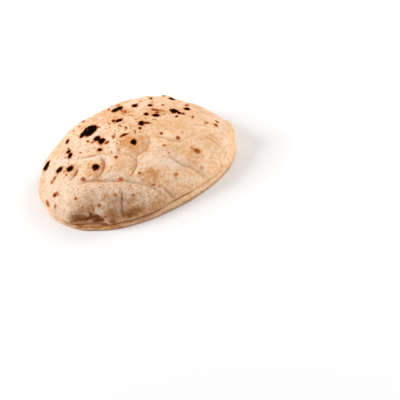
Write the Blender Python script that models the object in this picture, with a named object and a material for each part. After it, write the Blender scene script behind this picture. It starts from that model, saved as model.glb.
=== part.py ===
"""A round, puffed flatbread: a domed and creased top crust, a seam with a lip round its edge, a flat sole.

Metres, +Z up. The origin is the middle of the flat sole, and the side nearest the camera faces -Y.
"""

import math
from dataclasses import dataclass

import bmesh
import bpy
import numpy as np
from mathutils import Matrix, Vector, geometry, noise

MM = 0.001

# Driving sizes of the whole bread.
HALF_WIDTH = 100 * MM  # crown to seam, seen from above
SEAM_HEIGHT = 6.4 * MM  # mean height of the seam above the table
SEAM_TILT = 4.2 * MM  # how much higher the seam lies on its high side
SEAM_HIGH_SIDE = math.radians(20)
CROWN_RISE = 45.8 * MM  # the crown above the seam
DOME_POWER = 2.2  # 2 is an ellipse, more is a flatter top with steeper flanks

# The plan isn't a true circle: (waves round the edge, share of the radius, direction of a crest).
LOBES = ((2, 0.007, math.radians(3)), (3, 0.032, math.radians(88)), (4, 0.019, math.radians(71)))
CROWN_SLIDE = -1.8 * MM  # the crown leans this far to the left of the plan's middle

# The seam: the top crust tucks into a groove, and the bottom crust stands out under it as a rounded lip.
TUCK_HEIGHT = 6 * MM
GROOVE_DEPTH = 1.8 * MM
GROOVE_UNEVEN = 0.3
# How deep the groove is round the rim, as (heading in degrees, share). At the right-hand end it closes up.
GROOVE_ROUND = (
    (-180, 0.4),
    (-150, 0.5),
    (-125, 1.3),
    (-90, 1.5),
    (-70, 1.2),
    (-55, 0.6),
    (-38, 0.2),
    (0, 0.1),
    (45, 0.6),
    (110, 1.0),
)
GROOVE_EVENED = 6  # degrees on either side over which those shares are evened out
LIP_RADIUS = 3.3 * MM
LIP_PROUD = 1.1 * MM
LIP_FULL_SHARE = 1.1  # where the groove's share is less than this, the lip draws in
LIP_MOST_DRAWN = 1.6  # and it draws in by at most this share of how proud it stands
LIP_WAVE = 1.0 * MM
SEAM_WAVE = 1.1 * MM
SOLE_SAG = 1.5 * MM  # the sole is drawn sagging this far, then cut flat on the table's plane
SOLE_WAVE = 0.5 * MM
# Short bulges and flats of the whole rim: (heading and spread in degrees, how far it stands out).
RIM_BULGES = ((-168, 8, -1.5 * MM), (-179, 6, 1.2 * MM), (-22, 9, -0.4 * MM))

# How finely the form is drawn before it is thinned to facets.
FLANK_STEPS = 84
LIP_STEPS = 10
SOLE_STEPS = 14
TURN_STEPS = 300
MOST_TRIANGLES = 10_800

# Broad unevenness of the dough: (wavelength, height).
SWELLS = ((46 * MM, 1.5 * MM), (19 * MM, 0.55 * MM))
SEAM_FADE = 5 * MM  # relief dies away over this distance before the seam

CRUST_COLOUR = (0.82, 0.58, 0.36, 1.0)
CRUST_ROUGHNESS = 0.78


@dataclass(frozen=True)
class Crease:
    """A fold in the top crust.

    The route's points lie on the top crust peeled off and laid flat: millimetres to the right of the crown,
    and millimetres behind it, both measured along the crust.
    """

    route: tuple
    depth: float = 3.0 * MM
    spread: float = 6.0 * MM


@dataclass(frozen=True)
class Swelling:
    """A broad bump, or a hollow where its height is negative, at a place given as a crease's points are.

    Its edge is soft at steepness 1, and more like a step above that.
    """

    place: tuple
    reach_across: float
    reach_along: float
    turn: float
    height: float
    steepness: float = 1.0


CREASES = (
    # The shelf over the big front pillow, and the folds that run from it to the seam.
    Crease(((-56, -54), (-46, -59), (-33, -67), (-19, -77), (-5, -86), (7, -95), (16, -103)), 3.0 * MM),
    Crease(((-33, -114), (-30, -106), (-25, -98), (-20, -88)), 2.5 * MM, 4 * MM),
    Crease(((-62, -96), (-56, -90), (-52, -82)), 2.2 * MM, 4 * MM),
    Crease(((19, -98), (25, -108), (28, -114)), 1.7 * MM, 4 * MM),
    # Bowl-shaped pillows in front of the crown.
    Crease(((-64, -43), (-60, -42), (-55, -39), (-53, -33)), 2.6 * MM, 5 * MM),
    Crease(((-42, -62), (-38, -60), (-32, -56), (-27, -48), (-26, -43), (-28, -37)), 2.8 * MM, 5 * MM),
    Crease(
        ((-50, -22), (-38, -28), (-28, -33), (-24, -35), (-12, -44), (-1, -53), (5, -57)),
        1.6 * MM,
        5 * MM,
    ),
    Crease(
        ((-12, -81), (-4, -74), (2, -66), (5, -57), (15, -52), (19, -47), (22, -36), (18, -24), (8, -18)),
        2.2 * MM,
    ),
    Crease(((-2, -18), (-8, -25), (-10, -34), (-12, -44)), 1.4 * MM, 5 * MM),
    # The right-hand half.
    Crease(((30, -35), (37, -42), (45, -48), (52, -49)), 1.6 * MM, 5 * MM),
    Crease(((34, -69), (39, -74), (45, -80), (53, -84), (59, -88), (65, -93)), 1.7 * MM, 4 * MM),
    Crease(((39, -73), (43, -64), (45, -57)), 1.2 * MM, 5 * MM),
    Crease(((62, -54), (71, -59), (76, -63), (84, -68)), 0.9 * MM, 5 * MM),
    # Round the back and the far sides.
    Crease(((-92, 36), (-78, 52), (-58, 63), (-34, 71), (-14, 84), (2, 93), (9, 106)), 3.8 * MM, 7 * MM),
    Crease(((-112, 16), (-100, 22), (-92, 36)), 2.2 * MM, 5 * MM),
    Crease(((-58, 63), (-51, 78), (-57, 97)), 3.0 * MM, 6 * MM),
    Crease(((-34, 71), (-20, 64), (2, 66), (24, 75), (44, 75)), 2.6 * MM, 6 * MM),
    Crease(((24, 75), (27, 91), (20, 112)), 3.2 * MM, 6 * MM),
    Crease(((44, 75), (60, 63), (78, 52), (96, 56)), 2.8 * MM, 6 * MM),
    Crease(((60, 63), (64, 80), (75, 90)), 2.4 * MM, 5 * MM),
    Crease(((86, 24), (82, 38), (78, 52)), 2.0 * MM, 6 * MM),
)

SWELLINGS = (
    # The hollow over the seam at the front left, the tongue of dough at its end, and the front pillow's belly.
    Swelling((-69, -89), 23 * MM, 8 * MM, math.radians(-41), -7.5 * MM, 3.0),
    Swelling((-46, -101), 4 * MM, 6 * MM, math.radians(-25), 2.6 * MM),
    Swelling((-40, -87), 34 * MM, 11 * MM, math.radians(-25), 3.0 * MM),
    # The smooth flat patch right of the crown.
    Swelling((40, -22), 20 * MM, 13 * MM, math.radians(-15), -1.4 * MM),
    # Bulges and flats along the rim of the dome.
    Swelling((-45, 50), 16 * MM, 16 * MM, 0.0, 2.8 * MM),
    Swelling((4, 60), 19 * MM, 18 * MM, 0.0, -3.4 * MM),
    Swelling((34, 60), 8 * MM, 9 * MM, 0.0, 1.8 * MM),
    Swelling((56, 50), 10 * MM, 12 * MM, 0.0, 3.6 * MM),
    Swelling((88, 8), 15 * MM, 17 * MM, 0.0, -4.8 * MM),
    Swelling((102, -20), 10 * MM, 12 * MM, 0.0, 5.2 * MM),
    Swelling((102, -43), 10 * MM, 10 * MM, 0.0, -1.8 * MM),
    Swelling((-73, 20), 9 * MM, 9 * MM, 0.0, -2.8 * MM),
    Swelling((-98, -3), 8 * MM, 8 * MM, 0.0, -5.8 * MM),
    Swelling((-110, -3), 7 * MM, 8 * MM, 0.0, 1.4 * MM),
)


def clear_scene():
    """Removes every object of the scene that the script starts in."""
    for thing in list(bpy.data.objects):
        bpy.data.objects.remove(thing)


def dome_point(turn):
    """(reach, rise) of the plain dome at a turn from 0 at the crown to a quarter circle at the seam."""
    power = 2 / DOME_POWER
    reach = HALF_WIDTH * np.sin(turn) ** power
    rise = CROWN_RISE * np.cos(turn) ** power
    return reach, rise


def crust_length_table():
    """Turns of the dome's profile and how far along the crust from the crown each one lies."""
    turns = np.linspace(0, math.pi / 2, 2001)
    reach, rise = dome_point(turns)
    steps = np.hypot(np.diff(reach), np.diff(rise))
    return turns, np.concatenate([[0], np.cumsum(steps)])


TURNS, CRUST_LENGTHS = crust_length_table()
CRUST_LENGTH = CRUST_LENGTHS[-1]


def section_profile():
    """The half section as (reach, height): from the crown over the seam and the lip to the middle of the sole."""
    turns = np.interp(np.linspace(0, CRUST_LENGTH, FLANK_STEPS), CRUST_LENGTHS, TURNS)
    reach, rise = dome_point(turns)
    points = list(zip(reach, SEAM_HEIGHT + rise))

    lip_reach = HALF_WIDTH + LIP_PROUD - LIP_RADIUS
    lip_height = SEAM_HEIGHT - LIP_RADIUS
    for angle in np.linspace(math.radians(60), math.radians(-70), LIP_STEPS):
        points.append((lip_reach + LIP_RADIUS * math.cos(angle), lip_height + LIP_RADIUS * math.sin(angle)))

    edge_reach, edge_height = points[-1]
    for share in np.linspace(0, 1, SOLE_STEPS + 1)[1:]:
        sag = (edge_height + SOLE_SAG) * (1 - share**2) ** 4
        points.append((edge_reach * (1 - share**2), sag - SOLE_SAG))
    return points


def turned_body():
    """The section turned about the upright axis into a closed bmesh."""
    body = bmesh.new()
    corners = [body.verts.new((reach, 0, height)) for reach, height in section_profile()]
    edges = [body.edges.new(pair) for pair in zip(corners, corners[1:])]
    bmesh.ops.spin(
        body,
        geom=corners + edges,
        cent=(0, 0, 0),
        axis=(0, 0, 1),
        angle=math.tau,
        steps=TURN_STEPS,
        use_merge=True,
    )
    bmesh.ops.remove_doubles(body, verts=body.verts, dist=0.02 * MM)
    bmesh.ops.recalc_face_normals(body, faces=body.faces)
    return body


def smooth_route(points, step=1.0 * MM):
    """A smooth curve through a crease's points, as a dense list of points on the flat crust, in metres."""
    knots = [Vector((across * MM, back * MM, 0)) for across, back in points]
    padded = [2 * knots[0] - knots[1], *knots, 2 * knots[-1] - knots[-2]]
    route = []
    for before, start, end, after in zip(padded, padded[1:], padded[2:], padded[3:]):
        pieces = max(2, round((end - start).length / step))
        handle_1 = start + (end - before) / 6
        handle_2 = end - (after - start) / 6
        route += geometry.interpolate_bezier(start, handle_1, handle_2, end, pieces + 1)[:-1]
    route.append(knots[-1])
    return np.array([point[:2] for point in route])


def crease_relief(places):
    """How deep the creases sink each place of the flat crust. Where they cross, the deepest one counts."""
    sunk = np.zeros(len(places))
    for crease in CREASES:
        route = smooth_route(crease.route)
        gaps = np.linalg.norm(places[:, None] - route[None], axis=2)
        nearest = gaps.argmin(axis=1)
        # A crease runs out at both its ends instead of stopping short.
        along = np.linspace(-1, 1, len(route))[nearest]
        strength = 1 - 0.55 * np.abs(along) ** 3
        sunk = np.maximum(sunk, crease.depth * strength * np.exp(-gaps.min(axis=1) / crease.spread))
    return sunk


def swelling_relief(places):
    """How far the broad bumps and hollows lift each place of the flat crust."""
    lift = np.zeros(len(places))
    for swelling in SWELLINGS:
        offset = places - np.array(swelling.place) * MM
        cos_turn, sin_turn = math.cos(swelling.turn), math.sin(swelling.turn)
        across = offset[:, 0] * cos_turn + offset[:, 1] * sin_turn
        along = offset[:, 1] * cos_turn - offset[:, 0] * sin_turn
        spread = (across / swelling.reach_across) ** 2 + (along / swelling.reach_along) ** 2
        lift += swelling.height * np.exp(-(spread**swelling.steepness))
    return lift


def dough_relief(places):
    """The dough's own unevenness at each place of the flat crust."""
    lift = np.zeros(len(places))
    for wavelength, height in SWELLS:
        lift += [height * noise.noise(Vector((x, y, 0)) / wavelength) for x, y in places]
    return lift


def rim_noise(heading, waves, seed):
    """A smooth random wave round the rim, about -1 to 1, that meets itself after a full turn."""
    spots = zip(waves * np.cos(heading), waves * np.sin(heading))
    return np.array([2 * noise.noise(Vector((x, y, 10.3 * seed))) for x, y in spots])


def groove_share(heading):
    """How deep the groove under the seam is in this direction, as a share of its usual depth."""
    headings, shares = np.array([*GROOVE_ROUND, (180, GROOVE_ROUND[0][1])]).T
    fine = np.linspace(-180, 180, 361)
    evened = np.interp(fine, headings, shares)[:-1]
    shifts = range(-GROOVE_EVENED, GROOVE_EVENED + 1)
    evened = sum(np.roll(evened, shift) for shift in shifts) / len(shifts)
    return np.interp(np.degrees(heading), fine, [*evened, evened[0]])


def lip_drawn(heading):
    """How far the lip is drawn in where the seam closes up."""
    return LIP_PROUD * np.clip(2 * (LIP_FULL_SHARE - groove_share(heading)), 0, LIP_MOST_DRAWN)


def rim_bulge(heading):
    """How far the rim stands out of its lobed plan in this direction."""
    out = np.zeros(len(heading))
    for middle, spread, height in RIM_BULGES:
        turned = (np.degrees(heading) - middle + 180) % 360 - 180
        out += height * np.exp(-((turned / spread) ** 2))
    return out


def lobed(heading):
    """The plan's radius in this direction, as a share of the mean radius."""
    return 1 + sum(share * np.cos(waves * (heading - crest)) for waves, share, crest in LOBES)


def dome_normals(reach, rise):
    """Outward and upward parts of the plain dome's normal at these points."""
    power = DOME_POWER - 1
    out = (reach / HALF_WIDTH) ** power / HALF_WIDTH
    up = (rise / CROWN_RISE) ** power / CROWN_RISE
    slope = np.column_stack([out, up])
    return slope / np.maximum(np.linalg.norm(slope, axis=1), 1e-9)[:, None]


def shape_crust(body):
    """Gives the turned body its lobed plan, tilted seam, leaning crown and the relief of its top crust."""
    points = np.array([vert.co for vert in body.verts])
    reach = np.hypot(points[:, 0], points[:, 1])
    heading = np.arctan2(points[:, 1], points[:, 0])
    outward = np.column_stack([np.cos(heading), np.sin(heading)])
    on_top = points[:, 2] >= SEAM_HEIGHT - 1e-6
    rise = np.maximum(points[:, 2] - SEAM_HEIGHT, 0)
    risen = rise / CROWN_RISE

    # Each point of the top crust, laid flat, and what the relief does to it.
    half = DOME_POWER / 2
    turn = np.arctan2((reach / HALF_WIDTH) ** half, risen**half)
    travelled = np.interp(turn, TURNS, CRUST_LENGTHS)
    places = outward * travelled[:, None]
    fade = np.clip((CRUST_LENGTH - travelled) / SEAM_FADE, 0, 1)
    lift = swelling_relief(places) + (dough_relief(places) - crease_relief(places)) * fade
    across, up = dome_normals(reach, rise).T * lift * on_top
    sway = groove_share(heading) * (1 + GROOVE_UNEVEN * rim_noise(heading, 4.0, 3))
    across -= GROOVE_DEPTH * sway * np.clip(1 - rise / TUCK_HEIGHT, 0, 1) ** 2 * on_top
    at_rim = (reach / HALF_WIDTH) ** 6
    across += (rim_bulge(heading) - lip_drawn(heading) * ~on_top) * at_rim

    # The seam's tilt fades towards the crown above it and towards the table below it.
    seam_share = np.where(on_top, 1 - risen, np.clip(points[:, 2] / SEAM_HEIGHT, 0, 1))
    near_seam = seam_share**4
    up += SEAM_TILT * np.cos(heading - SEAM_HIGH_SIDE) * seam_share
    up += SEAM_WAVE * rim_noise(heading, 3.5, 1) * np.where(on_top, near_seam, seam_share)
    across += LIP_WAVE * rim_noise(heading, 5.0, 2) * ~on_top * seam_share
    up += SOLE_WAVE * rim_noise(heading, 2.5, 4) * ~on_top * (1 - seam_share) * reach / HALF_WIDTH

    wide = reach * lobed(heading) + across
    for vert, side, far, lean, lifted in zip(body.verts, outward, wide, CROWN_SLIDE * risen, up):
        vert.co = (side[0] * far + lean, side[1] * far, vert.co.z + lifted)


def crust_material():
    """Pale baked crust."""
    material = bpy.data.materials.new("baked_crust")
    material.use_nodes = True
    shader = material.node_tree.nodes["Principled BSDF"]
    shader.inputs["Base Color"].default_value = CRUST_COLOUR
    shader.inputs["Roughness"].default_value = CRUST_ROUGHNESS
    shader.inputs["Metallic"].default_value = 0.0
    material.diffuse_color = CRUST_COLOUR
    return material


def cut_sole_flat(mesh):
    """Cuts the sagging sole off at the table's plane and closes the cut with one flat face."""
    body = bmesh.new()
    body.from_mesh(mesh)
    everything = [*body.verts, *body.edges, *body.faces]
    cut = bmesh.ops.bisect_plane(
        body, geom=everything, dist=0.001 * MM, plane_co=(0, 0, 0), plane_no=(0, 0, -1), clear_outer=True
    )
    rim = [piece for piece in cut["geom_cut"] if isinstance(piece, bmesh.types.BMEdge)]
    for corner in {vert for edge in rim for vert in edge.verts}:
        corner.co.z = 0.0
    bmesh.ops.edgeloop_fill(body, edges=rim)
    bmesh.ops.recalc_face_normals(body, faces=body.faces)
    body.to_mesh(mesh)
    body.free()


def centre_plan(mesh):
    """Moves the bread sideways until the middle of its plan stands over the origin."""
    points = np.array([vert.co for vert in mesh.vertices])
    middle = (points.min(axis=0) + points.max(axis=0)) / 2
    mesh.transform(Matrix.Translation((-middle[0], -middle[1], 0)))


def make_flatbread():
    """The whole bread: one solid, thinned so that its facets are small only where the crust bends."""
    body = turned_body()
    shape_crust(body)
    mesh = bpy.data.meshes.new("flatbread")
    body.to_mesh(mesh)
    body.free()
    mesh.materials.append(crust_material())

    bread = bpy.data.objects.new("flatbread", mesh)
    bpy.context.scene.collection.objects.link(bread)
    bpy.context.view_layer.objects.active = bread
    thinning = bread.modifiers.new("facets", "DECIMATE")
    thinning.ratio = MOST_TRIANGLES / sum(len(face.vertices) - 2 for face in mesh.polygons)
    bpy.ops.object.modifier_apply(modifier=thinning.name)
    cut_sole_flat(mesh)
    centre_plan(mesh)
    mesh.shade_smooth()
    return bread


clear_scene()
make_flatbread()
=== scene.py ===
"""A round, puffed flatbread on a pale floor: its creased, scorched and floury crust, and the studio round it.

Metres, +Z up, the bread's flat sole on the floor. The picture is taken to be 400 by 400 pixels.
"""

import logging
import math
from dataclasses import dataclass
from enum import Enum, IntEnum
from typing import Iterable, Sequence

import bpy
import numpy as np
from mathutils import Matrix, Vector, geometry, noise
from mathutils.bvhtree import BVHTree

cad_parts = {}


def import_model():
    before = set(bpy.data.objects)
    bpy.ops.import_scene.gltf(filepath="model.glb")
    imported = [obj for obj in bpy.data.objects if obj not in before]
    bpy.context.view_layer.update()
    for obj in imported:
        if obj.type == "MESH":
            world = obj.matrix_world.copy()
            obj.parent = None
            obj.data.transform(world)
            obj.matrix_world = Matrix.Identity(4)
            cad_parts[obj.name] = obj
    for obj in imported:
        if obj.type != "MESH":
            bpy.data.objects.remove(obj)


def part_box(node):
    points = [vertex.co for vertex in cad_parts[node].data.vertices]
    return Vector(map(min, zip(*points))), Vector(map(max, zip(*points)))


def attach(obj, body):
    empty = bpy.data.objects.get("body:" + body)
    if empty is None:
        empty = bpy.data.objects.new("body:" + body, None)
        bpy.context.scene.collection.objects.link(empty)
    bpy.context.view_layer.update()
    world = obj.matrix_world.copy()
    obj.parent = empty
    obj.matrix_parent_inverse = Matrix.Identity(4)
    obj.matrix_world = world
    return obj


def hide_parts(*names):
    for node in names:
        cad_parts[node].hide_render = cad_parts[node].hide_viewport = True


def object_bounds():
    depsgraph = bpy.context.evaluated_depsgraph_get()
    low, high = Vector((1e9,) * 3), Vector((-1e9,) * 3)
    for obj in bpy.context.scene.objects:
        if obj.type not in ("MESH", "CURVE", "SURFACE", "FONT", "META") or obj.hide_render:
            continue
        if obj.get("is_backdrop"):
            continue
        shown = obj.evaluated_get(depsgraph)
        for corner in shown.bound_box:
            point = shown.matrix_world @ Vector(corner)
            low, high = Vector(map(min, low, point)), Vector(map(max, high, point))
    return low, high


LOG = logging.getLogger("flatbread")
MM = 0.001
PICTURE = 400
SENSOR = 36.0
PATTERN_STEP = 10.3

Pair = tuple[float, float]
Colour = tuple[float, float, float, float]


class Pattern(IntEnum):
    """Which of the random patterns a ripple over the crust takes."""

    SWELLS = 0
    FINE_SWELLS = 2
    LUMPS = 3
    WOBBLE_ACROSS = 5
    WOBBLE_BACK = 6
    LIP = 7
    SOLE = 8
    FLOUR = 9
    GOLD = 12
    TAN = 13
    GLOW = 20
    FINE_GLOW = 21


def linear(red: int, green: int, blue: int) -> Colour:
    """Turns a screen colour into the linear colour that shaders use, by the sRGB curve.

    Args:
        red: The red channel, 0 to 255.
        green: The green channel.
        blue: The blue channel.

    Returns:
        Linear red, green, blue and an alpha of 1.
    """
    parts = [channel / 255 for channel in (red, green, blue)]
    flat = [part / 12.92 if part <= 0.04045 else ((part + 0.055) / 1.055) ** 2.4 for part in parts]
    return (*flat, 1.0)


def smoothstep(low: float, high: float, value: np.ndarray) -> np.ndarray:
    """Rises smoothly from 0 at low to 1 at high."""
    share = np.clip((value - low) / (high - low), 0, 1)
    return share * share * (3 - 2 * share)


def unit(rows: np.ndarray) -> np.ndarray:
    """Scales each row to length 1."""
    return rows / np.maximum(np.linalg.norm(rows, axis=1), 1e-9)[:, None]


def raise_to(values: np.ndarray, where: np.ndarray, least: np.ndarray) -> None:
    """Raises the values at some places to no less than these."""
    values[where] = np.maximum(values[where], least)


def oval_distance(places: np.ndarray, middle: Pair, halves: Pair) -> np.ndarray:
    """Squared distance of places from an oval's middle, with its edge at 1. The oval is in millimetres."""
    offset = (places - np.array(middle) * MM) / (np.array(halves) * MM)
    return (offset**2).sum(axis=1)


def ripple(points: np.ndarray, wavelength: float, pattern: float) -> np.ndarray:
    """Smooth random waves over some points.

    Args:
        points: One row a point, of two or three coordinates.
        wavelength: About the distance from crest to crest.
        pattern: Picks another pattern of the same kind.

    Returns:
        One height a point, about -1 to 1.
    """
    spots = np.zeros((len(points), 3))
    spots[:, : points.shape[1]] = points / wavelength
    spots[:, 2] += PATTERN_STEP * pattern
    return np.array([noise.noise(spot) for spot in spots.tolist()])


def ripples(points: np.ndarray, layers: Sequence[Pair], pattern: float) -> np.ndarray:
    """Ripples on top of each other, each layer given as its wavelength and height."""
    return sum(height * ripple(points, length, pattern) for length, height in layers)


# ------------------------------ The form of the bread ------------------------------


@dataclass(frozen=True)
class Crease:
    """A fold in the top crust, in millimetres, its route given on the crust laid flat, from the crown.

    The crust sinks softly over the fold's spread, and is cut by a narrow line along its middle.
    """

    route: tuple[Pair, ...]
    depth: float = 3.0
    spread: float = 6.0
    cut: float = 0.7


@dataclass(frozen=True)
class Swelling:
    """A broad bump, or a hollow where its height is negative, placed as a crease's points are.

    It is in millimetres and degrees. Its edge is soft at steepness 1, and more like a step above that.
    """

    place: Pair
    reach_across: float
    reach_along: float
    turn: float
    height: float
    steepness: float = 1.0


CREASES = (
    # The shelf over the big front pillow, and the folds that run from it to the seam.
    Crease(((-56, -54), (-46, -59), (-33, -67), (-19, -77), (-5, -86), (7, -95), (16, -103)), 3, 6, 0.6),
    Crease(((-33, -114), (-30, -106), (-25, -98), (-20, -88)), 2.5, 4, 1.2),
    Crease(((-62, -96), (-56, -90), (-52, -82)), 2.2, 4, 0.5),
    Crease(((19, -98), (25, -108), (28, -114)), 1.7, 4, 0.8),
    # Bowl-shaped pillows in front of the crown.
    Crease(((-64, -43), (-60, -42), (-55, -39), (-53, -33)), 2.6, 5, 0.7),
    Crease(((-42, -62), (-38, -60), (-32, -56), (-27, -48), (-26, -43), (-28, -37)), 2.8, 5, 0.9),
    Crease(((-50, -22), (-38, -28), (-28, -33), (-24, -35), (-12, -44), (-1, -53), (5, -57)), 1.6, 5, 0.5),
    Crease(
        ((-12, -81), (-4, -74), (2, -66), (5, -57), (15, -52), (19, -47), (22, -36), (18, -24), (8, -18)),
        2.2, 6, 0.6,
    ),
    Crease(((-2, -18), (-8, -25), (-10, -34), (-12, -44)), 1.4, 5, 0.25),
    # The right-hand half.
    Crease(((30, -35), (37, -42), (45, -48), (52, -49)), 1.6, 5, 0.8),
    Crease(((34, -69), (39, -74), (45, -80), (53, -84), (59, -88), (65, -93)), 1.7, 4, 0.7),
    Crease(((39, -73), (43, -64), (45, -57)), 1.2, 5, 0.3),
    Crease(((62, -54), (71, -59), (76, -63), (84, -68)), 0.9, 5, 0.25),
    # Round the back and the far sides.
    Crease(((-92, 36), (-78, 52), (-58, 63), (-34, 71), (-14, 84), (2, 93), (9, 106)), 3.8, 7, 0.9),
    Crease(((-112, 16), (-100, 22), (-92, 36)), 2.2, 5),
    Crease(((-58, 63), (-51, 78), (-57, 97)), 3, 6, 1.1),
    Crease(((-34, 71), (-20, 64), (2, 66), (24, 75), (44, 75)), 2.6, 6),
    Crease(((24, 75), (27, 91), (20, 112)), 3.2, 6, 1.2),
    Crease(((44, 75), (60, 63), (78, 52), (96, 56)), 2.8, 6, 0.9),
    Crease(((60, 63), (64, 80), (75, 90)), 2.4, 5),
    Crease(((86, 24), (82, 38), (78, 52)), 2, 6, 0.5),
)

# Shallow lines that are too fine for the solid.
HAIRLINES = (
    Crease(((-68, -13), (-63, -17), (-58, -19)), 0.5, 3, 0.3),
    Crease(((52, -49), (58, -44), (64, -42)), 0.3, 2, 0.4),
    Crease(((72, -45), (80, -52), (88, -60), (94, -66)), 0.5, 3, 0.4),
    Crease(((62, -20), (70, -26), (78, -30)), 0.4, 3, 0.3),
    Crease(((66, -6), (76, -13), (86, -24)), 0.4, 3, 0.25),
    Crease(((28, -58), (34, -62), (36, -68)), 0.5, 3, 0.3),
    Crease(((12, -92), (18, -84), (26, -80)), 0.4, 3, 0.3),
    Crease(((-50, -12), (-38, -16), (-28, -22)), 0.4, 3, 0.3),
    Crease(((-86, -38), (-80, -50), (-76, -62)), 0.5, 4, 0.3),
    Crease(((-96, -30), (-92, -48), (-84, -66)), 0.5, 3, 0.3),
    Crease(((44, -103), (50, -106), (54, -108)), 0.8, 3, 0.6),
    Crease(((30, 20), (44, 26), (60, 24)), 0.4, 3, 0.3),
    Crease(((-70, 30), (-52, 36), (-36, 30)), 0.4, 4, 0.3),
    Crease(((-4, 40), (10, 48), (28, 46)), 0.4, 3, 0.3),
    Crease(((-20, 98), (-14, 106), (-16, 114)), 0.9, 3, 0.5),
    Crease(((92, 8), (100, 14), (106, 24)), 0.7, 3, 0.4),
    Crease(((46, 94), (52, 100), (56, 106)), 0.8, 3, 0.5),
)

SWELLINGS = (
    Swelling((-69, -89), 23, 8, -41, -7.5, 3),
    Swelling((-46, -101), 4, 6, -25, 2.6),
    Swelling((-40, -87), 34, 11, -25, 3),
    Swelling((40, -22), 20, 13, -15, -1.4),
    # Bulges and flats along the rim of the dome.
    Swelling((-45, 50), 16, 16, 0, 2.8),
    Swelling((4, 60), 19, 18, 0, -3.4),
    Swelling((34, 60), 8, 9, 0, 1.8),
    Swelling((56, 50), 10, 12, 0, 3.6),
    Swelling((88, 8), 15, 17, 0, -4.8),
    Swelling((102, -20), 10, 12, 0, 5.2),
    Swelling((102, -43), 10, 10, 0, -1.8),
    Swelling((-73, 20), 9, 9, 0, -2.8),
    Swelling((-98, -3), 8, 8, 0, -5.8),
    Swelling((-110, -3), 7, 8, 0, 1.4),
)


@dataclass(frozen=True)
class Dome:
    """The plain dome of the top crust, before its lobes and relief."""

    half_width: float = 100 * MM
    rise: float = 45.8 * MM
    power: float = 2.2
    steps: int = 2000

    def point(self, turn: np.ndarray) -> tuple[np.ndarray, np.ndarray]:
        """Reach and height of the dome at turns from 0 at the crown to a quarter circle at the seam."""
        share = 2 / self.power
        return self.half_width * np.sin(turn) ** share, self.rise * np.cos(turn) ** share

    def lengths(self) -> tuple[np.ndarray, np.ndarray]:
        """Measures along the dome's profile.

        Returns:
            Turns from the crown to the seam, and how far along the crust from the crown each one lies.
        """
        turns = np.linspace(0, math.pi / 2, self.steps + 1)
        reach, rise = self.point(turns)
        steps = np.hypot(np.diff(reach), np.diff(rise))
        return turns, np.concatenate([[0], np.cumsum(steps)])

    def normals(self, reach: np.ndarray, rise: np.ndarray) -> np.ndarray:
        """Works out the dome's normals.

        Args:
            reach: How far from the middle each point lies.
            rise: How high over the seam it lies.

        Returns:
            The outward and upward parts of each point's normal.
        """
        power = self.power - 1
        out = (reach / self.half_width) ** power / self.half_width
        up = (rise / self.rise) ** power / self.rise
        return unit(np.column_stack([out, up]))


@dataclass(frozen=True)
class RimWave:
    """A smooth random wave round the rim, which meets itself after a full turn."""

    count: float
    height: float
    pattern: int

    def at(self, heading: np.ndarray) -> np.ndarray:
        """The wave's height in each direction."""
        ring = np.column_stack([np.cos(heading), np.sin(heading)])
        return self.height * (2 * ripple(ring, 1 / self.count, self.pattern))


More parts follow.
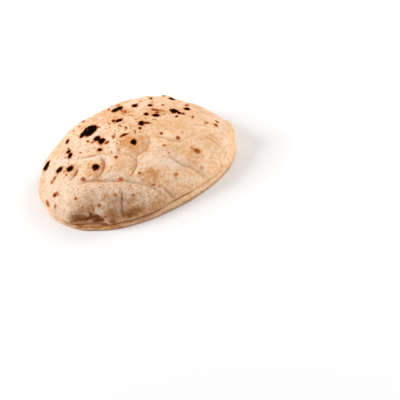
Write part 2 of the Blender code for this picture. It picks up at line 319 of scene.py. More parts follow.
@dataclass(frozen=True)
class Rim:
    """The seam, its groove, the lip of the bottom crust and the sole."""

    seam_height: float = 6.4 * MM
    seam_tilt: float = 4.2 * MM
    high_side: float = math.radians(20)
    seam_wave: RimWave = RimWave(3.5, 1.1 * MM, 1)
    tuck_height: float = 6 * MM
    groove_depth: float = 1.8 * MM
    groove_wave: RimWave = RimWave(4.0, 0.3, 3)
    # How deep the groove is round the rim: headings in degrees, and shares of its usual depth.
    groove_round: tuple[tuple[float, ...], ...] = (
        (-180, -150, -125, -90, -70, -55, -38, 0, 45, 110),
        (0.4, 0.5, 1.3, 1.5, 1.2, 0.6, 0.2, 0.1, 0.6, 1.0),
    )
    groove_evening: int = 6
    # Where the rim stands out of its lobed plan: a heading and a spread in degrees, and how far.
    bulges: tuple[tuple[float, float, float], ...] = (
        (-168, 8, -1.5 * MM),
        (-179, 6, 1.2 * MM),
        (-22, 9, -0.4 * MM),
    )
    lip_radius: float = 3.3 * MM
    lip_proud: float = 1.1 * MM
    lip_full_share: float = 1.1
    lip_draw: float = 2.0
    lip_most_drawn: float = 1.6
    lip_wave: RimWave = RimWave(5.0, 1.0 * MM, 2)
    lip_top: float = math.radians(60)
    lip_bottom: float = math.radians(-70)
    sole_sag: float = 1.5 * MM
    sole_crowding: float = 1.5
    sole_wave: RimWave = RimWave(2.5, 0.5 * MM, 4)
    # Where the crust turns to sole, as shares of the seam's height.
    under: Pair = (0.75, 0.15)

    def lower_section(self, half_width: float, lip_steps: int, sole_steps: int) -> np.ndarray:
        """The half section from under the seam, round the lip, to the middle of the sole.

        Args:
            half_width: Reach of the seam.
            lip_steps: Points round the lip.
            sole_steps: Points over the sole.

        Returns:
            One row a point: reach and height.
        """
        angles = np.linspace(self.lip_top, self.lip_bottom, lip_steps)
        lip = np.column_stack(
            [
                half_width + self.lip_proud - self.lip_radius + self.lip_radius * np.cos(angles),
                self.seam_height - self.lip_radius + self.lip_radius * np.sin(angles),
            ]
        )
        left = 1 - np.linspace(0, 1, sole_steps + 1)[1:] ** self.sole_crowding
        sole = np.column_stack([lip[-1, 0] * left, (lip[-1, 1] + self.sole_sag) * left**4 - self.sole_sag])
        return np.vstack([lip, sole])

    def groove_share(self, heading: np.ndarray) -> np.ndarray:
        """How deep the groove under the seam is, as a share of its usual depth.

        Args:
            heading: Directions from the middle.

        Returns:
            One share a direction.
        """
        headings, shares = self.groove_round
        fine = np.linspace(-180, 180, 361)
        sharp = np.interp(fine, [*headings, 180], [*shares, shares[0]])[:-1]
        turns = range(-self.groove_evening, self.groove_evening + 1)
        evened = sum(np.roll(sharp, turn) for turn in turns) / len(turns)
        return np.interp(np.degrees(heading), fine, [*evened, evened[0]])

    def lip_drawn(self, heading: np.ndarray) -> np.ndarray:
        """How far the lip is drawn in where the seam closes up."""
        drawn = self.lip_draw * (self.lip_full_share - self.groove_share(heading))
        return self.lip_proud * np.clip(drawn, 0, self.lip_most_drawn)

    def bulge(self, heading: np.ndarray) -> np.ndarray:
        """How far the rim stands out of its lobed plan.

        Args:
            heading: Directions from the middle.

        Returns:
            One distance a direction.
        """
        out = np.zeros(len(heading))
        for middle, spread, height in self.bulges:
            turned = (np.degrees(heading) - middle + 180) % 360 - 180
            out += height * np.exp(-((turned / spread) ** 2))
        return out


@dataclass(frozen=True)
class BreadForm:
    """Where every point of the bread's skin lies."""

    dome: Dome = Dome()
    rim: Rim = Rim()
    # The plan's lobes: how many, how far out as a share of its radius, and where one has its crest.
    lobes: tuple[tuple[int, float, float], ...] = (
        (2, 0.007, math.radians(3)),
        (3, 0.032, math.radians(88)),
        (4, 0.019, math.radians(71)),
    )
    crown_slide: float = -1.8 * MM
    seam_fade: float = 5 * MM
    # Wavelengths and heights.
    swells: tuple[Pair, ...] = ((46 * MM, 1.5 * MM), (19 * MM, 0.55 * MM))
    fine_swells: tuple[Pair, ...] = ((8.5 * MM, 0.36 * MM), (4.2 * MM, 0.28 * MM), (2.2 * MM, 0.16 * MM))
    lumps: tuple[Pair, ...] = ((6.5 * MM, 0.35 * MM), (3.2 * MM, 0.5 * MM), (2.0 * MM, 0.45 * MM))
    lip_lumps: tuple[Pair, ...] = ((3.5 * MM, 0.18 * MM),)
    fold_wobble: Pair = (7 * MM, 1.0 * MM)
    lump_contrast: float = 2.2
    fold_fade: float = 0.55
    fold_margin: float = 5.0
    fold_reach: float = 8 * MM
    cut_width: float = 1.1 * MM
    lip_start: float = 0.2 * MM
    rim_power: int = 6
    sole_pits: float = 0.35 * MM
    sole_pit_size: float = 5 * MM
    sole_pit_edge: float = 0.15
    # Where the painted shade low on the crust starts and is full, as heights over the seam.
    low_shade_band: Pair = (17 * MM, 1 * MM)
    # Where the crust is floury: right, back, half width and half depth in millimetres, and how much.
    floury_spots: tuple[tuple[float, float, float, float, float], ...] = (
        (-52, -88, 38, 26, 1.1),
        (-8, -104, 30, 16, 0.6),
        (-20, 100, 44, 22, 1.0),
        (-98, -30, 14, 40, 0.4),
    )
    flour_clouds: tuple[Pair, ...] = ((14 * MM, 0.15),)
    flour_edge: float = 1.5
    smooth_spot: tuple[Pair, Pair] = ((40, -22), (24, 14))
    smooth_loss: float = 0.4
    plain_right: Pair = (-10 * MM, 60 * MM)
    plain_loss: float = 0.45
    floury_gain: float = 0.4

    def smooth_route(self, points: Sequence[Pair]) -> np.ndarray:
        """A smooth curve through a crease's points.

        Args:
            points: The crease's route, in millimetres on the flat crust.

        Returns:
            A dense list of points on the flat crust, in metres.
        """
        knots = [Vector((across * MM, back * MM, 0)) for across, back in points]
        padded = [2 * knots[0] - knots[1], *knots, 2 * knots[-1] - knots[-2]]
        # Handles a sixth of the way between a knot's neighbours make the curve run evenly through it.
        route: list[Vector] = []
        for before, start, end, after in zip(padded, padded[1:], padded[2:], padded[3:]):
            pieces = max(2, round((end - start).length / MM))
            handles = start + (end - before) / 6, end - (after - start) / 6
            route += geometry.interpolate_bezier(start, *handles, end, pieces + 1)[:-1]
        route.append(knots[-1])
        return np.array([point[:2] for point in route])

    def folds(self, places: np.ndarray) -> tuple[np.ndarray, np.ndarray, np.ndarray]:
        """What the creases do to the crust.

        Args:
            places: Points on the crust laid flat, in metres.

        Returns:
            How deep each place sinks, how far it lies from the nearest fold, and how sharp that is, 0 to 1.
        """
        length, sway = self.fold_wobble
        wobble = [ripple(places, length, pattern) for pattern in (Pattern.WOBBLE_ACROSS, Pattern.WOBBLE_BACK)]
        wobbled = places + np.column_stack(wobble) * sway
        sunk, cut, sharp = (np.zeros(len(places)) for _ in range(3))
        fold_gap = np.full(len(places), self.fold_reach)
        for crease in CREASES + HAIRLINES:
            route = self.smooth_route(crease.route)
            spread, deepest_cut = crease.spread * MM, crease.cut * MM
            margin = self.fold_margin * spread
            inside = (places > route.min(axis=0) - margin) & (places < route.max(axis=0) + margin)
            near = np.flatnonzero(inside.all(axis=1))
            gaps = np.linalg.norm(wobbled[near, None] - route[None], axis=2)
            from_middle = np.abs(np.linspace(-1, 1, len(route))[gaps.argmin(axis=1)])
            strength = 1 - self.fold_fade * from_middle**3
            gap = gaps.min(axis=1)
            raise_to(sunk, near, crease.depth * MM * strength * np.exp(-gap / spread))
            raise_to(cut, near, deepest_cut * strength * np.exp(-((gap / self.cut_width) ** 2)))
            closer = gap < fold_gap[near]
            fold_gap[near[closer]] = gap[closer]
            sharp[near[closer]] = np.minimum(1.0, deepest_cut / self.cut_width * strength[closer])
        return sunk + cut, fold_gap, sharp

    def swellings(self, places: np.ndarray) -> np.ndarray:
        """What the broad bumps and hollows do to the crust.

        Args:
            places: Points on the crust laid flat, in metres.

        Returns:
            How far each place is lifted.
        """
        lift = np.zeros(len(places))
        for swelling in SWELLINGS:
            offset = places - np.array(swelling.place) * MM
            turn = math.radians(swelling.turn)
            cosine, sine = math.cos(turn), math.sin(turn)
            across = (offset[:, 0] * cosine + offset[:, 1] * sine) / (swelling.reach_across * MM)
            along = (offset[:, 1] * cosine - offset[:, 0] * sine) / (swelling.reach_along * MM)
            lift += swelling.height * MM * np.exp(-((across**2 + along**2) ** swelling.steepness))
        return lift

    def floury(self, places: np.ndarray) -> np.ndarray:
        """How grainy and flour-dusted the crust is: most on the big front pillow.

        Args:
            places: Points on the crust laid flat, in metres.

        Returns:
            One share a place, 0 to 1.
        """
        total = ripples(places, self.flour_clouds, Pattern.FLOUR)
        for across, back, wide, deep, amount in self.floury_spots:
            away = oval_distance(places, (across, back), (wide, deep))
            total += amount * np.exp(-(away**self.flour_edge))
        return np.clip(total, 0, 1)

    def grainy(self, places: np.ndarray, floury: np.ndarray) -> np.ndarray:
        """How strong the grain of the crust's colour is: less on the right, and least on the smooth spot.

        Args:
            places: Points on the crust laid flat, in metres.
            floury: How floury each of them is.

        Returns:
            One strength a place, about 1.
        """
        smooth = np.exp(-(oval_distance(places, *self.smooth_spot) ** 2))
        right = smoothstep(*self.plain_right, places[:, 0])
        return 1.0 - self.plain_loss * right + self.floury_gain * floury - self.smooth_loss * smooth

    def dough(self, places: np.ndarray, floury: np.ndarray) -> tuple[np.ndarray, np.ndarray]:
        """The dough's own unevenness.

        Args:
            places: Points on the crust laid flat, in metres.
            floury: How floury each of them is.

        Returns:
            How far each place is lifted, and how high it stands among the small lumps there, about -1 to 1.
        """
        lift = ripples(places, self.swells, Pattern.SWELLS)
        lift += ripples(places, self.fine_swells, Pattern.FINE_SWELLS)
        lumps = ripples(places, self.lumps, Pattern.LUMPS)
        return lift + floury * lumps, lumps / sum(height for _, height in self.lumps) * self.lump_contrast

    def lobed(self, heading: np.ndarray) -> np.ndarray:
        """The plan's radius in this direction, as a share of the mean radius."""
        return 1 + sum(share * np.cos(count * (heading - crest)) for count, share, crest in self.lobes)

    def shape(
        self, section: np.ndarray, heading: np.ndarray, travelled: np.ndarray
    ) -> tuple[np.ndarray, dict[str, np.ndarray]]:
        """Places the points of the skin.

        Args:
            section: One row a point: its reach and height on the plain section.
            heading: Direction of each point from the middle.
            travelled: How far along the crust from the crown each point lies, and below the crust more
                than its length.

        Returns:
            The points, and the named values that the finish needs at each of them.
        """
        rim, dome = self.rim, self.dome
        crust_length = dome.lengths()[1][-1]
        reach, height = section.T
        outward = np.column_stack([np.cos(heading), np.sin(heading)])
        on_top = travelled <= crust_length + 1e-9
        rise = np.maximum(height - rim.seam_height, 0) * on_top
        risen = rise / dome.rise

        # The dome, pushed in and out along its normals, and drawn in over the groove.
        places = outward * np.minimum(travelled, crust_length)[:, None]
        fade = np.clip((crust_length - travelled) / self.seam_fade, 0, 1)
        floury = self.floury(places)
        sunk, fold_gap, sharp = self.folds(places)
        uneven, lump = self.dough(places, floury)
        lift = self.swellings(places) + (uneven - sunk) * fade
        across, up = dome.normals(reach, rise).T * lift * on_top
        sway = rim.groove_share(heading) * (1 + rim.groove_wave.at(heading))
        tuck = np.clip(1 - rise / rim.tuck_height, 0, 1) ** 2 * on_top
        across -= rim.groove_depth * sway * tuck
        at_rim = (reach / dome.half_width) ** self.rim_power
        across += (rim.bulge(heading) - rim.lip_drawn(heading) * ~on_top) * at_rim

        # The seam climbs, dips and waves round the rim, and what is over and under it goes along.
        seam_share = np.where(on_top, 1 - risen, np.clip(height / rim.seam_height, 0, 1))
        up += rim.seam_tilt * np.cos(heading - rim.high_side) * seam_share
        up += rim.seam_wave.at(heading) * np.where(on_top, seam_share**4, seam_share)
        across += rim.lip_wave.at(heading) * ~on_top * seam_share
        up += rim.sole_wave.at(heading) * ~on_top * (1 - seam_share) * reach / dome.half_width

        wide = reach * self.lobed(heading) + across
        points = np.column_stack([outward * wide[:, None], height + up])
        points[:, 0] += self.crown_slide * risen

        # The sole lies flat on the floor, but for its pits.
        lip = ~on_top & (points[:, 2] > self.lip_start)
        points[:, 2] += lip * ripples(points, self.lip_lumps, Pattern.LIP)
        floor = np.maximum(points[:, 2], 0)
        pits = np.maximum(ripple(points, self.sole_pit_size, Pattern.SOLE) - self.sole_pit_edge, 0)
        points[:, 2] = np.where(on_top | lip, floor, floor + self.sole_pits * pits)
        below = smoothstep(*(rim.seam_height * share for share in rim.under), np.where(on_top, 1.0, height))
        values = {
            "grainy": self.grainy(places, floury),
            # Where shade is painted in the folds and in the seam's groove.
            "fold_gap": fold_gap / MM,
            "fold_sharp": sharp * fade * on_top,
            "tuck": tuck * np.clip(sway, 0, 1),
            "floury": floury * fade * on_top,
            "lump": lump,
            "under": below,
            # Painted shade: the crust is warmer and darker low down, near the seam and on the lip.
            "low_shade_band": smoothstep(*self.low_shade_band, rise) * on_top + (~on_top) * (1 - below),
        }
        return points, values


# ------------------------------ What the oven did to the crust, and its painted shade and highlights ---


class Bake(Enum):
    """How far a spot of crust is baked, from pale at 0 to black at 1. Ash is char that has burnt to grey."""

    ASH = -1.0
    PINK = 0.2
    ORANGE = 0.34
    TOASTED = 0.46
    BROWN = 0.54
    DARK = 0.78
    CHAR = 1.0


ASH, PINK, ORANGE, TOASTED, BROWN, DARK, CHAR = Bake


@dataclass(frozen=True)
class Oval:
    """A spot on the crust, given by its place, length and width in the picture, in pixels.

    Its length climbs to the right by so many degrees.
    """

    across: float
    down: float
    long: float
    wide: float
    climb: float


@dataclass(frozen=True)
class Scorch(Oval):
    """A small spot of browned or burnt crust."""

    bake: Bake


@dataclass(frozen=True)
class Glow(Oval):
    """A broad patch of more baked crust, of more floury crust, of painted shade low down and in the folds, or
    of painted highlight on lit ridges. Its edge is soft at crisp 2.4, and sharp at 5.
    """

    golden: float
    tanned_and_shaded: float
    chalk_and_highlight: float = 0.0
    crisp: float = 2.4


# Scorches: across, down, length, width, climb and bake. Their order picks each one's ragged edge.
BURNT = (
    (90.4, 129.8, 15.6, 8.6, 34, CHAR), (83, 134, 9, 4.2, 54, CHAR), (88.6, 135.2, 4.6, 2.4, 30, DARK),
    (87.2, 130, 2.2, 1.4, 60, ASH), (97, 138.7, 8, 4, 30, CHAR), (101.2, 140.9, 7.6, 6, 8, CHAR),
    (115, 110, 6.6, 4.2, 18, CHAR), (119.2, 108, 7.4, 4.8, 12, CHAR), (134.7, 105.5, 5.8, 2.8, 0, CHAR),
    (150.2, 105.3, 4.6, 2.4, 4, CHAR), (172, 98.8, 6, 2, -12, CHAR), (174, 110.7, 8.6, 3.7, -8, CHAR),
    (178.6, 112.4, 5.4, 2.2, -20, CHAR), (183, 113.6, 4.2, 2, -8, DARK), (186.8, 109.2, 6.6, 2.6, -6, CHAR),
    (155.8, 115.2, 6.8, 3.4, -5, CHAR), (146.2, 114.3, 4.6, 2.8, 0, CHAR), (141.3, 123, 5.8, 4, 0, CHAR),
    (146.6, 122.9, 8.4, 2.2, -3, DARK), (118.9, 120.5, 6.2, 2.7, 20, CHAR), (133.5, 142, 6, 5.8, 0, CHAR),
    (124, 135, 8.4, 2.8, 18, DARK), (99.7, 149.8, 4.8, 3, 5, CHAR), (68.5, 151.8, 5.4, 2.9, 40, CHAR),
    (70.3, 155.3, 6, 3.6, 65, CHAR), (46.5, 165.7, 11.6, 3, 60, CHAR), (59.3, 169.8, 8, 3.4, 50, CHAR),
    (69.8, 168.6, 7.4, 4.2, 25, CHAR), (95.7, 167.2, 7, 6.2, 0, CHAR), (94.2, 168.8, 1.6, 1.2, 0, ASH),
    (55.3, 194.8, 6.2, 4, 50, BROWN), (47.6, 203.4, 7.2, 3.2, -70, TOASTED),
    (67.4, 141.5, 5.6, 2.4, 50, CHAR), (54.7, 195.8, 3.4, 2.4, 50, DARK),
)

# Smaller ones, less baked.
BROWNED = (
    (151, 98.4, 3.4, 2, 0, DARK), (176, 98.2, 3, 1.8, 0, BROWN), (163.5, 95.7, 3.4, 1.8, 0, BROWN),
    (148, 96.8, 4, 1.4, 0, PINK), (186.8, 105.4, 4.4, 2, -5, BROWN), (113.4, 121.1, 4.4, 3, 10, DARK),
    (109, 123.6, 2.4, 1.8, 0, BROWN), (120, 124.2, 2.2, 1.6, 0, ORANGE), (126, 127.8, 2.6, 2.2, 0, DARK),
    (129.5, 123.8, 1.6, 2.2, 0, ORANGE), (140, 128.2, 3.2, 2.6, 0, DARK), (113.4, 137, 4, 3.2, 10, BROWN),
    (106.8, 142.5, 4.8, 2.2, 30, DARK), (87.8, 141.4, 2.8, 2.2, 0, DARK), (86, 145, 2.2, 1.8, 0, PINK),
    (120.4, 141.4, 2.6, 2.2, 0, ORANGE), (79, 126.6, 3, 1.8, 30, ORANGE), (73.5, 130.8, 2.8, 1.6, 40, ORANGE),
    (83, 121.6, 4.4, 1.6, 30, BROWN), (100.2, 127.3, 2.2, 1.4, 0, ORANGE), (62.8, 141.4, 2.4, 2, 50, PINK),
    (68.5, 148.6, 1.9, 1.7, 0, DARK), (65.5, 157.4, 3.4, 1.6, 35, ORANGE), (80.5, 152.6, 2.2, 1.6, 0, BROWN),
    (66.3, 174.8, 2, 1.9, 0, BROWN), (64.5, 171.4, 3, 1.6, 20, ORANGE), (54.8, 178, 4.8, 2.8, 58, BROWN),
    (52.3, 182, 6, 3.2, 58, ORANGE), (83.6, 179.5, 5.4, 4.4, 0, TOASTED), (86.2, 182.3, 3, 1.2, 0, ORANGE),
    (55, 206.6, 6.6, 2.8, 82, ORANGE), (88, 164.3, 2, 1.7, 0, ORANGE), (75.6, 198.8, 3.4, 3.4, 0, TOASTED),
    (99.4, 205.8, 4.2, 4, 0, TOASTED), (115.6, 195, 4.4, 3.6, 0, ORANGE), (105.5, 201.5, 4, 2, 0, PINK),
    (120.6, 179.2, 5, 5, 0, ORANGE), (116, 157, 3.8, 3.6, 0, BROWN), (111.2, 167.6, 2.6, 5, -20, PINK),
    (108.8, 170.8, 2.6, 1.6, 20, ORANGE), (117, 165.5, 1.6, 1.4, 0, ORANGE), (139.8, 173, 3.6, 3, 10, BROWN),
    (142.9, 179.4, 3.4, 1.8, 0, ORANGE), (133, 195.4, 4.4, 3.8, 0, ORANGE), (133, 202, 3.5, 3, 0, PINK),
    (153.6, 184.7, 5.4, 3, 0, ORANGE), (161.5, 133.3, 4, 2.8, 0, BROWN), (178, 137.9, 4.2, 3.6, 0, BROWN),
    (182.2, 132.5, 2.8, 1.7, 0, ORANGE), (164, 145.4, 5, 2.8, 0, ORANGE), (159.5, 150.8, 3, 1.6, 0, PINK),
    (169, 152.8, 2.4, 2.2, 0, ORANGE), (169.4, 157, 2.6, 1.6, 0, PINK), (197, 151.3, 8.2, 5.4, -25, TOASTED),
    (193.4, 149, 5, 2.4, -20, ORANGE), (191.4, 147.6, 3.2, 1.7, -10, ORANGE), (185, 146.5, 3, 1.3, 0, PINK),
    (183.9, 151.2, 3, 1.8, 0, PINK), (203.3, 155.6, 3, 2.8, 0, PINK), (201.6, 167.8, 6, 4.8, 0, PINK),
    (175.8, 174.4, 5, 3.8, 0, ORANGE), (206.4, 123, 5, 3, 0, ORANGE), (215.6, 125, 4.8, 2.4, -22, BROWN),
    (214.2, 127.3, 3.4, 1.8, 0, PINK), (217, 121.9, 4.6, 1.7, -28, BROWN), (192.8, 117, 2.9, 2.4, 0, BROWN),
    (176.6, 116.4, 3.2, 2, 0, DARK), (163, 105.3, 3.4, 1.6, 0, BROWN), (152, 102.3, 3, 1.4, 0, ORANGE),
    (140.5, 101.4, 4, 1.4, 0, ORANGE), (141, 110.8, 2.6, 1.2, 0, PINK), (164.5, 114.6, 2.6, 1.3, 0, ORANGE),
    (221, 117.2, 6.4, 1.8, -35, ORANGE), (135, 132.4, 1.8, 4.6, 0, TOASTED),
    (118.4, 150, 2.4, 4.4, 0, ORANGE), (155, 109.8, 7.4, 1.8, -3, DARK), (158, 110.6, 4.4, 1.6, -6, BROWN),
    (163, 111.4, 4, 1.4, -3, ORANGE), (123.8, 111.8, 6, 2.6, 5, ORANGE), (125.4, 111.6, 2.8, 3.2, 0, BROWN),
    (222.2, 165.7, 2.6, 2.4, 0, PINK), (98.2, 126.8, 4, 2, -20, BROWN), (92.6, 142.4, 4.4, 1.8, 20, BROWN),
    (103.6, 125.3, 3, 1.4, 0, PINK), (106.6, 128.6, 3.4, 1.6, 0, PINK), (93.6, 144.2, 2.6, 1.4, 0, PINK),
    (136, 119.5, 3.2, 1.5, 0, ORANGE), (137, 104, 4, 2, 0, ORANGE), (129, 115.4, 2.6, 1.4, 0, ORANGE),
    (128.4, 112.6, 2.4, 1.6, 0, ORANGE), (121.5, 110.9, 2.4, 1.6, 0, BROWN), (131, 126.2, 4, 3.4, 0, PINK),
    (123.6, 122.6, 2.2, 1.4, 0, ORANGE), (154, 119.4, 5.4, 1.4, 0, ORANGE), (152.6, 109.4, 3, 1.4, 0, BROWN),
    (160.4, 110.4, 3, 1.4, 0, BROWN), (157.4, 112.3, 5, 2.2, -5, BROWN), (144.6, 117.2, 2.6, 1.3, 0, PINK),
    (166.6, 117.6, 2.8, 1.4, 0, PINK), (68.4, 184.6, 3.4, 1.8, 15, PINK), (73.6, 188.8, 2.4, 1.6, 15, PINK),
    (85.8, 189.2, 1.8, 1.6, 0, PINK), (109, 110.2, 3.2, 1.6, 20, ORANGE), (152, 128.4, 2, 1.4, 0, PINK),
)

# Glows: across, down, length, width, climb, golden, tanned and painted shade, and for some also chalky and
# crisp.
BAKED_AND_SHADED = (
    # Golden crust among the marks near the crown.
    (157, 111, 24, 8, -3, 1.2, 0.3), (125, 111.5, 14, 7, 0, 1.2, 0.25), (143, 120, 28, 12, 0, 0.6, 0),
    (110, 116, 24, 10, 25, 0.5, 0), (171, 125, 46, 13, 0, 0.6, 0, 0, 4), (94, 118.6, 34, 5, 27, 0.45, 0.05),
    (103, 114.4, 12, 7, 25, 0.6, 0), (198, 108, 42, 3, -23, 0.25, 0.1), (180, 112, 50, 16, -15, 0.45, 0),
    # The pillows in front of the crown, with golden and tanned lines of painted shade in the folds beside
    # them and under the shelf.
    (134, 143, 30, 19, -5, 1.1, 0.28, 0, 4), (125, 142.5, 15, 11, 30, 1.3, 0.3),
    (128, 137.6, 14, 4.5, 10, 1.3, 0.3), (119, 149, 5, 8, 0, 0.5, 0.5), (122, 165, 30, 18, 0, 0.45, 0, 0, 4),
    (134, 164, 8, 14, 20, 0.45, 0.25), (103, 165, 3.6, 12, 18, 0.6, 1), (94, 170, 20, 18, 0, 0.75, 0, 0, 4),
    (75.8, 173, 9, 3.4, 62, 0.6, 1.1), (134.6, 169.5, 15, 2.8, 66, 0.4, 0.7), (69, 169, 20, 11, 20, 0.7, 0),
    (59, 152.5, 14, 5, 15, 0.5, 0), (91, 180.6, 26, 3, 0, 0.3, 0.6), (91, 156.2, 18, 1.8, 17, 0.1, 0.7, 0, 3),
    # The right-hand half.
    (150, 175, 20, 17, 0, 1.1, 0.1, 0, 4), (150, 173, 12, 10, 0, 1.3, 0.35),
    (193, 156, 24, 18, -25, 0.6, 0, 0, 4), (195, 151, 16, 9, -20, 0.8, 0.1), (178, 148, 30, 20, 0, 0.45, 0),
    (186, 169, 22, 7, -28, 0.3, 0.05), (212, 138, 32, 18, -20, 0.5, 0), (157, 134, 12, 7, 0, 0.5, 0),
    (222, 166, 8, 6, 0, 0.5, 0),
    # The hollow over the seam: painted shade under the overhanging pillow.
    (80.5, 218.2, 21, 9, 2, 0.1, 1.35, 0, 4), (91.3, 214, 4.6, 12, 12, 0.1, 1.5, 0, 5),
    (88, 218.2, 32, 4.6, 2, 0.1, 2), (99.8, 219.4, 10.5, 6.2, -4, 0.1, 1.7, 0, 5),
    (112.5, 221, 9, 8, 0, 0.1, 1.5), (85, 210.5, 24, 6.5, 4, 0.1, 0.9),
    # The dark line of the seam under it: painted shade in the groove.
    (82, 225.2, 20, 3, -2, 0.1, 1.7, 0, 3), (104, 224.4, 30, 2, 0, 0.1, 1.8, 0, 3),
    # The low front: painted shade where it turns under and along the lip, and darker patches on the pillow.
    (88, 227, 60, 5, 0, 0.1, 1.3), (113, 215, 20, 16, 0, 0.2, 1.1), (107, 215, 5, 10, 0, 0.1, 1),
    (132, 213, 28, 11, 20, 0.2, 1.6), (128, 205, 14, 16, 0, 0.2, 0.5), (160, 203, 36, 12, 28, 0.2, 0.6),
    (128, 221.5, 30, 4, 12, 0.1, 0.6), (112, 201, 12, 12, 0, 0.3, 0.35), (87.5, 198, 8, 14, 0, 0.3, 0.35),
    (93, 195, 8, 8, 0, 0.3, 0.35), (106, 196, 8, 14, 0, 0.4, 0.3), (72, 205, 6, 16, 80, 0.1, 0.3),
    (150, 211.6, 42, 5.5, 26, 0.1, 0.8), (148, 217, 44, 3.5, 24, 0.1, 0.5), (114, 226.6, 18, 4, 6, 0.1, 1.1),
    (66.5, 222.6, 12, 4, -32, 0.1, 0.9),
)

# Pale patches, floury crust in places and painted highlight on lit ridges beside the folds elsewhere: across,
# down, length, width, climb, chalky, and for some also crisp.
CHALKY_AND_LIT = (
    (84, 180, 7, 6, 0, 0.5), (52, 192, 26, 60, 15, 0.55), (72, 150, 50, 30, 40, 0.25),
    (230, 150, 14, 34, 0, 0.2), (172, 162.5, 28, 8, -12, 0.7), (108, 160, 8, 10, 0, 0.5),
    (182, 160, 18, 9, -20, 0.5), (92, 190, 50, 10, 0, 0.35), (65, 201, 7, 26, 4, 0.9),
    (96.5, 206, 5, 19, 6, 1), (89.5, 206, 4, 9, 0, 0.8), (105, 205.5, 8, 7, 0, 0.6),
    (105.8, 219.5, 3, 6, 0, 1, 3), (124.4, 201, 3, 16, 4, 0.9), (93.2, 220.8, 7, 3.4, 0, 1),
    (64, 162.5, 24, 9, 20, 1), (97, 156.8, 20, 4, 8, 0.8), (113, 146, 7, 18, 10, 0.9),
    (96, 134, 16, 7, 15, 0.8), (110, 175, 22, 10, 0, 0.8), (152, 159, 24, 6, 0, 0.5),
    (70, 188, 14, 12, 0, 0.6), (49, 190, 9, 22, 0, 0.6), (135, 103, 30, 5, 8, 0.4), (100, 128, 20, 8, 0, 0.5),
)

SCORCHES = tuple(Scorch(*row) for row in BURNT + BROWNED)
GLOWS = tuple(Glow(*row) for row in BAKED_AND_SHADED) + tuple(Glow(*row[:5], 0.0, 0.0, *row[5:]) for row in CHALKY_AND_LIT)


@dataclass(frozen=True)
class PhotoCamera:
    """The picture's camera, placed round the bread lying flat: it looks down at an angle and is rolled."""

    elevation: float = math.radians(29)
    roll: float = math.radians(19.05)
    distance: float = 900 * MM
    aim: tuple[float, float, float] = (-0.49 * MM, -3.26 * MM, 24 * MM)
    aim_across: float = 130.5
    aim_down: float = 148.6
    pixels_per_mm: float = 0.994

    @property
    def lens(self) -> float:
        """Focal length in millimetres."""
        return self.pixels_per_mm / MM * SENSOR * self.distance / PICTURE

    def way_through(self, across: float, down: float) -> Vector:
        """The line of sight through a pixel, as the camera sees it."""
        pixel, middle = SENSOR / PICTURE, PICTURE / 2
        return Vector(((across - middle) * pixel, (middle - down) * pixel, -self.lens))

    def pose(self) -> Matrix:
        """Places the camera so that the aimed point has its own pixel.

        Returns:
            The camera's place and turn.
        """
        right = Vector((1, 0, 0))
        up = Vector((0, math.sin(self.elevation), math.cos(self.elevation)))
        back = Vector((0, -math.cos(self.elevation), math.sin(self.elevation)))
        cosine, sine = math.cos(self.roll), math.sin(self.roll)
        rolled = Matrix((cosine * right - sine * up, sine * right + cosine * up, back)).transposed()
        towards = self.way_through(self.aim_across, self.aim_down)
        turned = Vector((0, 0, -1)).rotation_difference(towards.normalized()).to_matrix()
        place = Vector(self.aim) + back * self.distance
        return Matrix.Translation(place) @ (rolled @ turned.inverted()).to_4x4()

    def ray(self, across: float, down: float) -> tuple[Vector, Vector]:
        """The line of sight through a pixel.

        Args:
            across: Pixels from the picture's left edge.
            down: Pixels from its top edge.

        Returns:
            Where the line starts and which way it runs.
        """
        pose = self.pose()
        return pose.translation, (pose.to_3x3() @ self.way_through(across, down)).normalized()

    def facing(self, points: np.ndarray, normals: np.ndarray) -> np.ndarray:
        """How squarely a surface faces the camera.

        Args:
            points: The surface's points.
            normals: Their normals.

        Returns:
            One value a point: 1 where it faces the camera, and less than 0 where it faces away.
        """
        return np.einsum("ij,ij->i", normals, unit(np.array(self.pose().translation) - points))

    def build(self) -> None:
        """Adds the camera and makes it the scene's own."""
        data = bpy.data.cameras.new("picture_camera")
        data.lens, data.sensor_width = self.lens, SENSOR
        camera = bpy.data.objects.new("picture_camera", data)
        bpy.context.scene.collection.objects.link(camera)
        camera.matrix_world = self.pose()
        bpy.context.scene.camera = camera


@dataclass
class Patch:
    """An oval on the crust: its middle, its two half axes and the crust's normal there."""

    middle: np.ndarray
    long: np.ndarray
    wide: np.ndarray
    normal: np.ndarray
    reach: float = 3.0
    margin: float = 4 * MM
    same_side: float = 0.1

    def halves(self) -> Pair:
        """Half of the oval's length and half of its width."""
        return float(np.linalg.norm(self.long)), float(np.linalg.norm(self.wide))

    def spread(self, points: np.ndarray, normals: np.ndarray) -> tuple[np.ndarray, np.ndarray]:
        """How far points lie from the oval's middle.

        Args:
            points: The crust's points.
            normals: Their normals.

        Returns:
            Which points are near, and for each of them its distance with the oval's edge at 1.
        """
        offset = points - self.middle
        close = np.abs(offset).max(axis=1) < self.reach * max(self.halves()) + self.margin
        near = np.flatnonzero(close & (normals @ self.normal > self.same_side))
        coordinates = offset[near] @ np.linalg.pinv(np.column_stack([self.long, self.wide])).T
        return near, np.linalg.norm(coordinates, axis=1)


Mark = tuple[Patch | None, Bake]


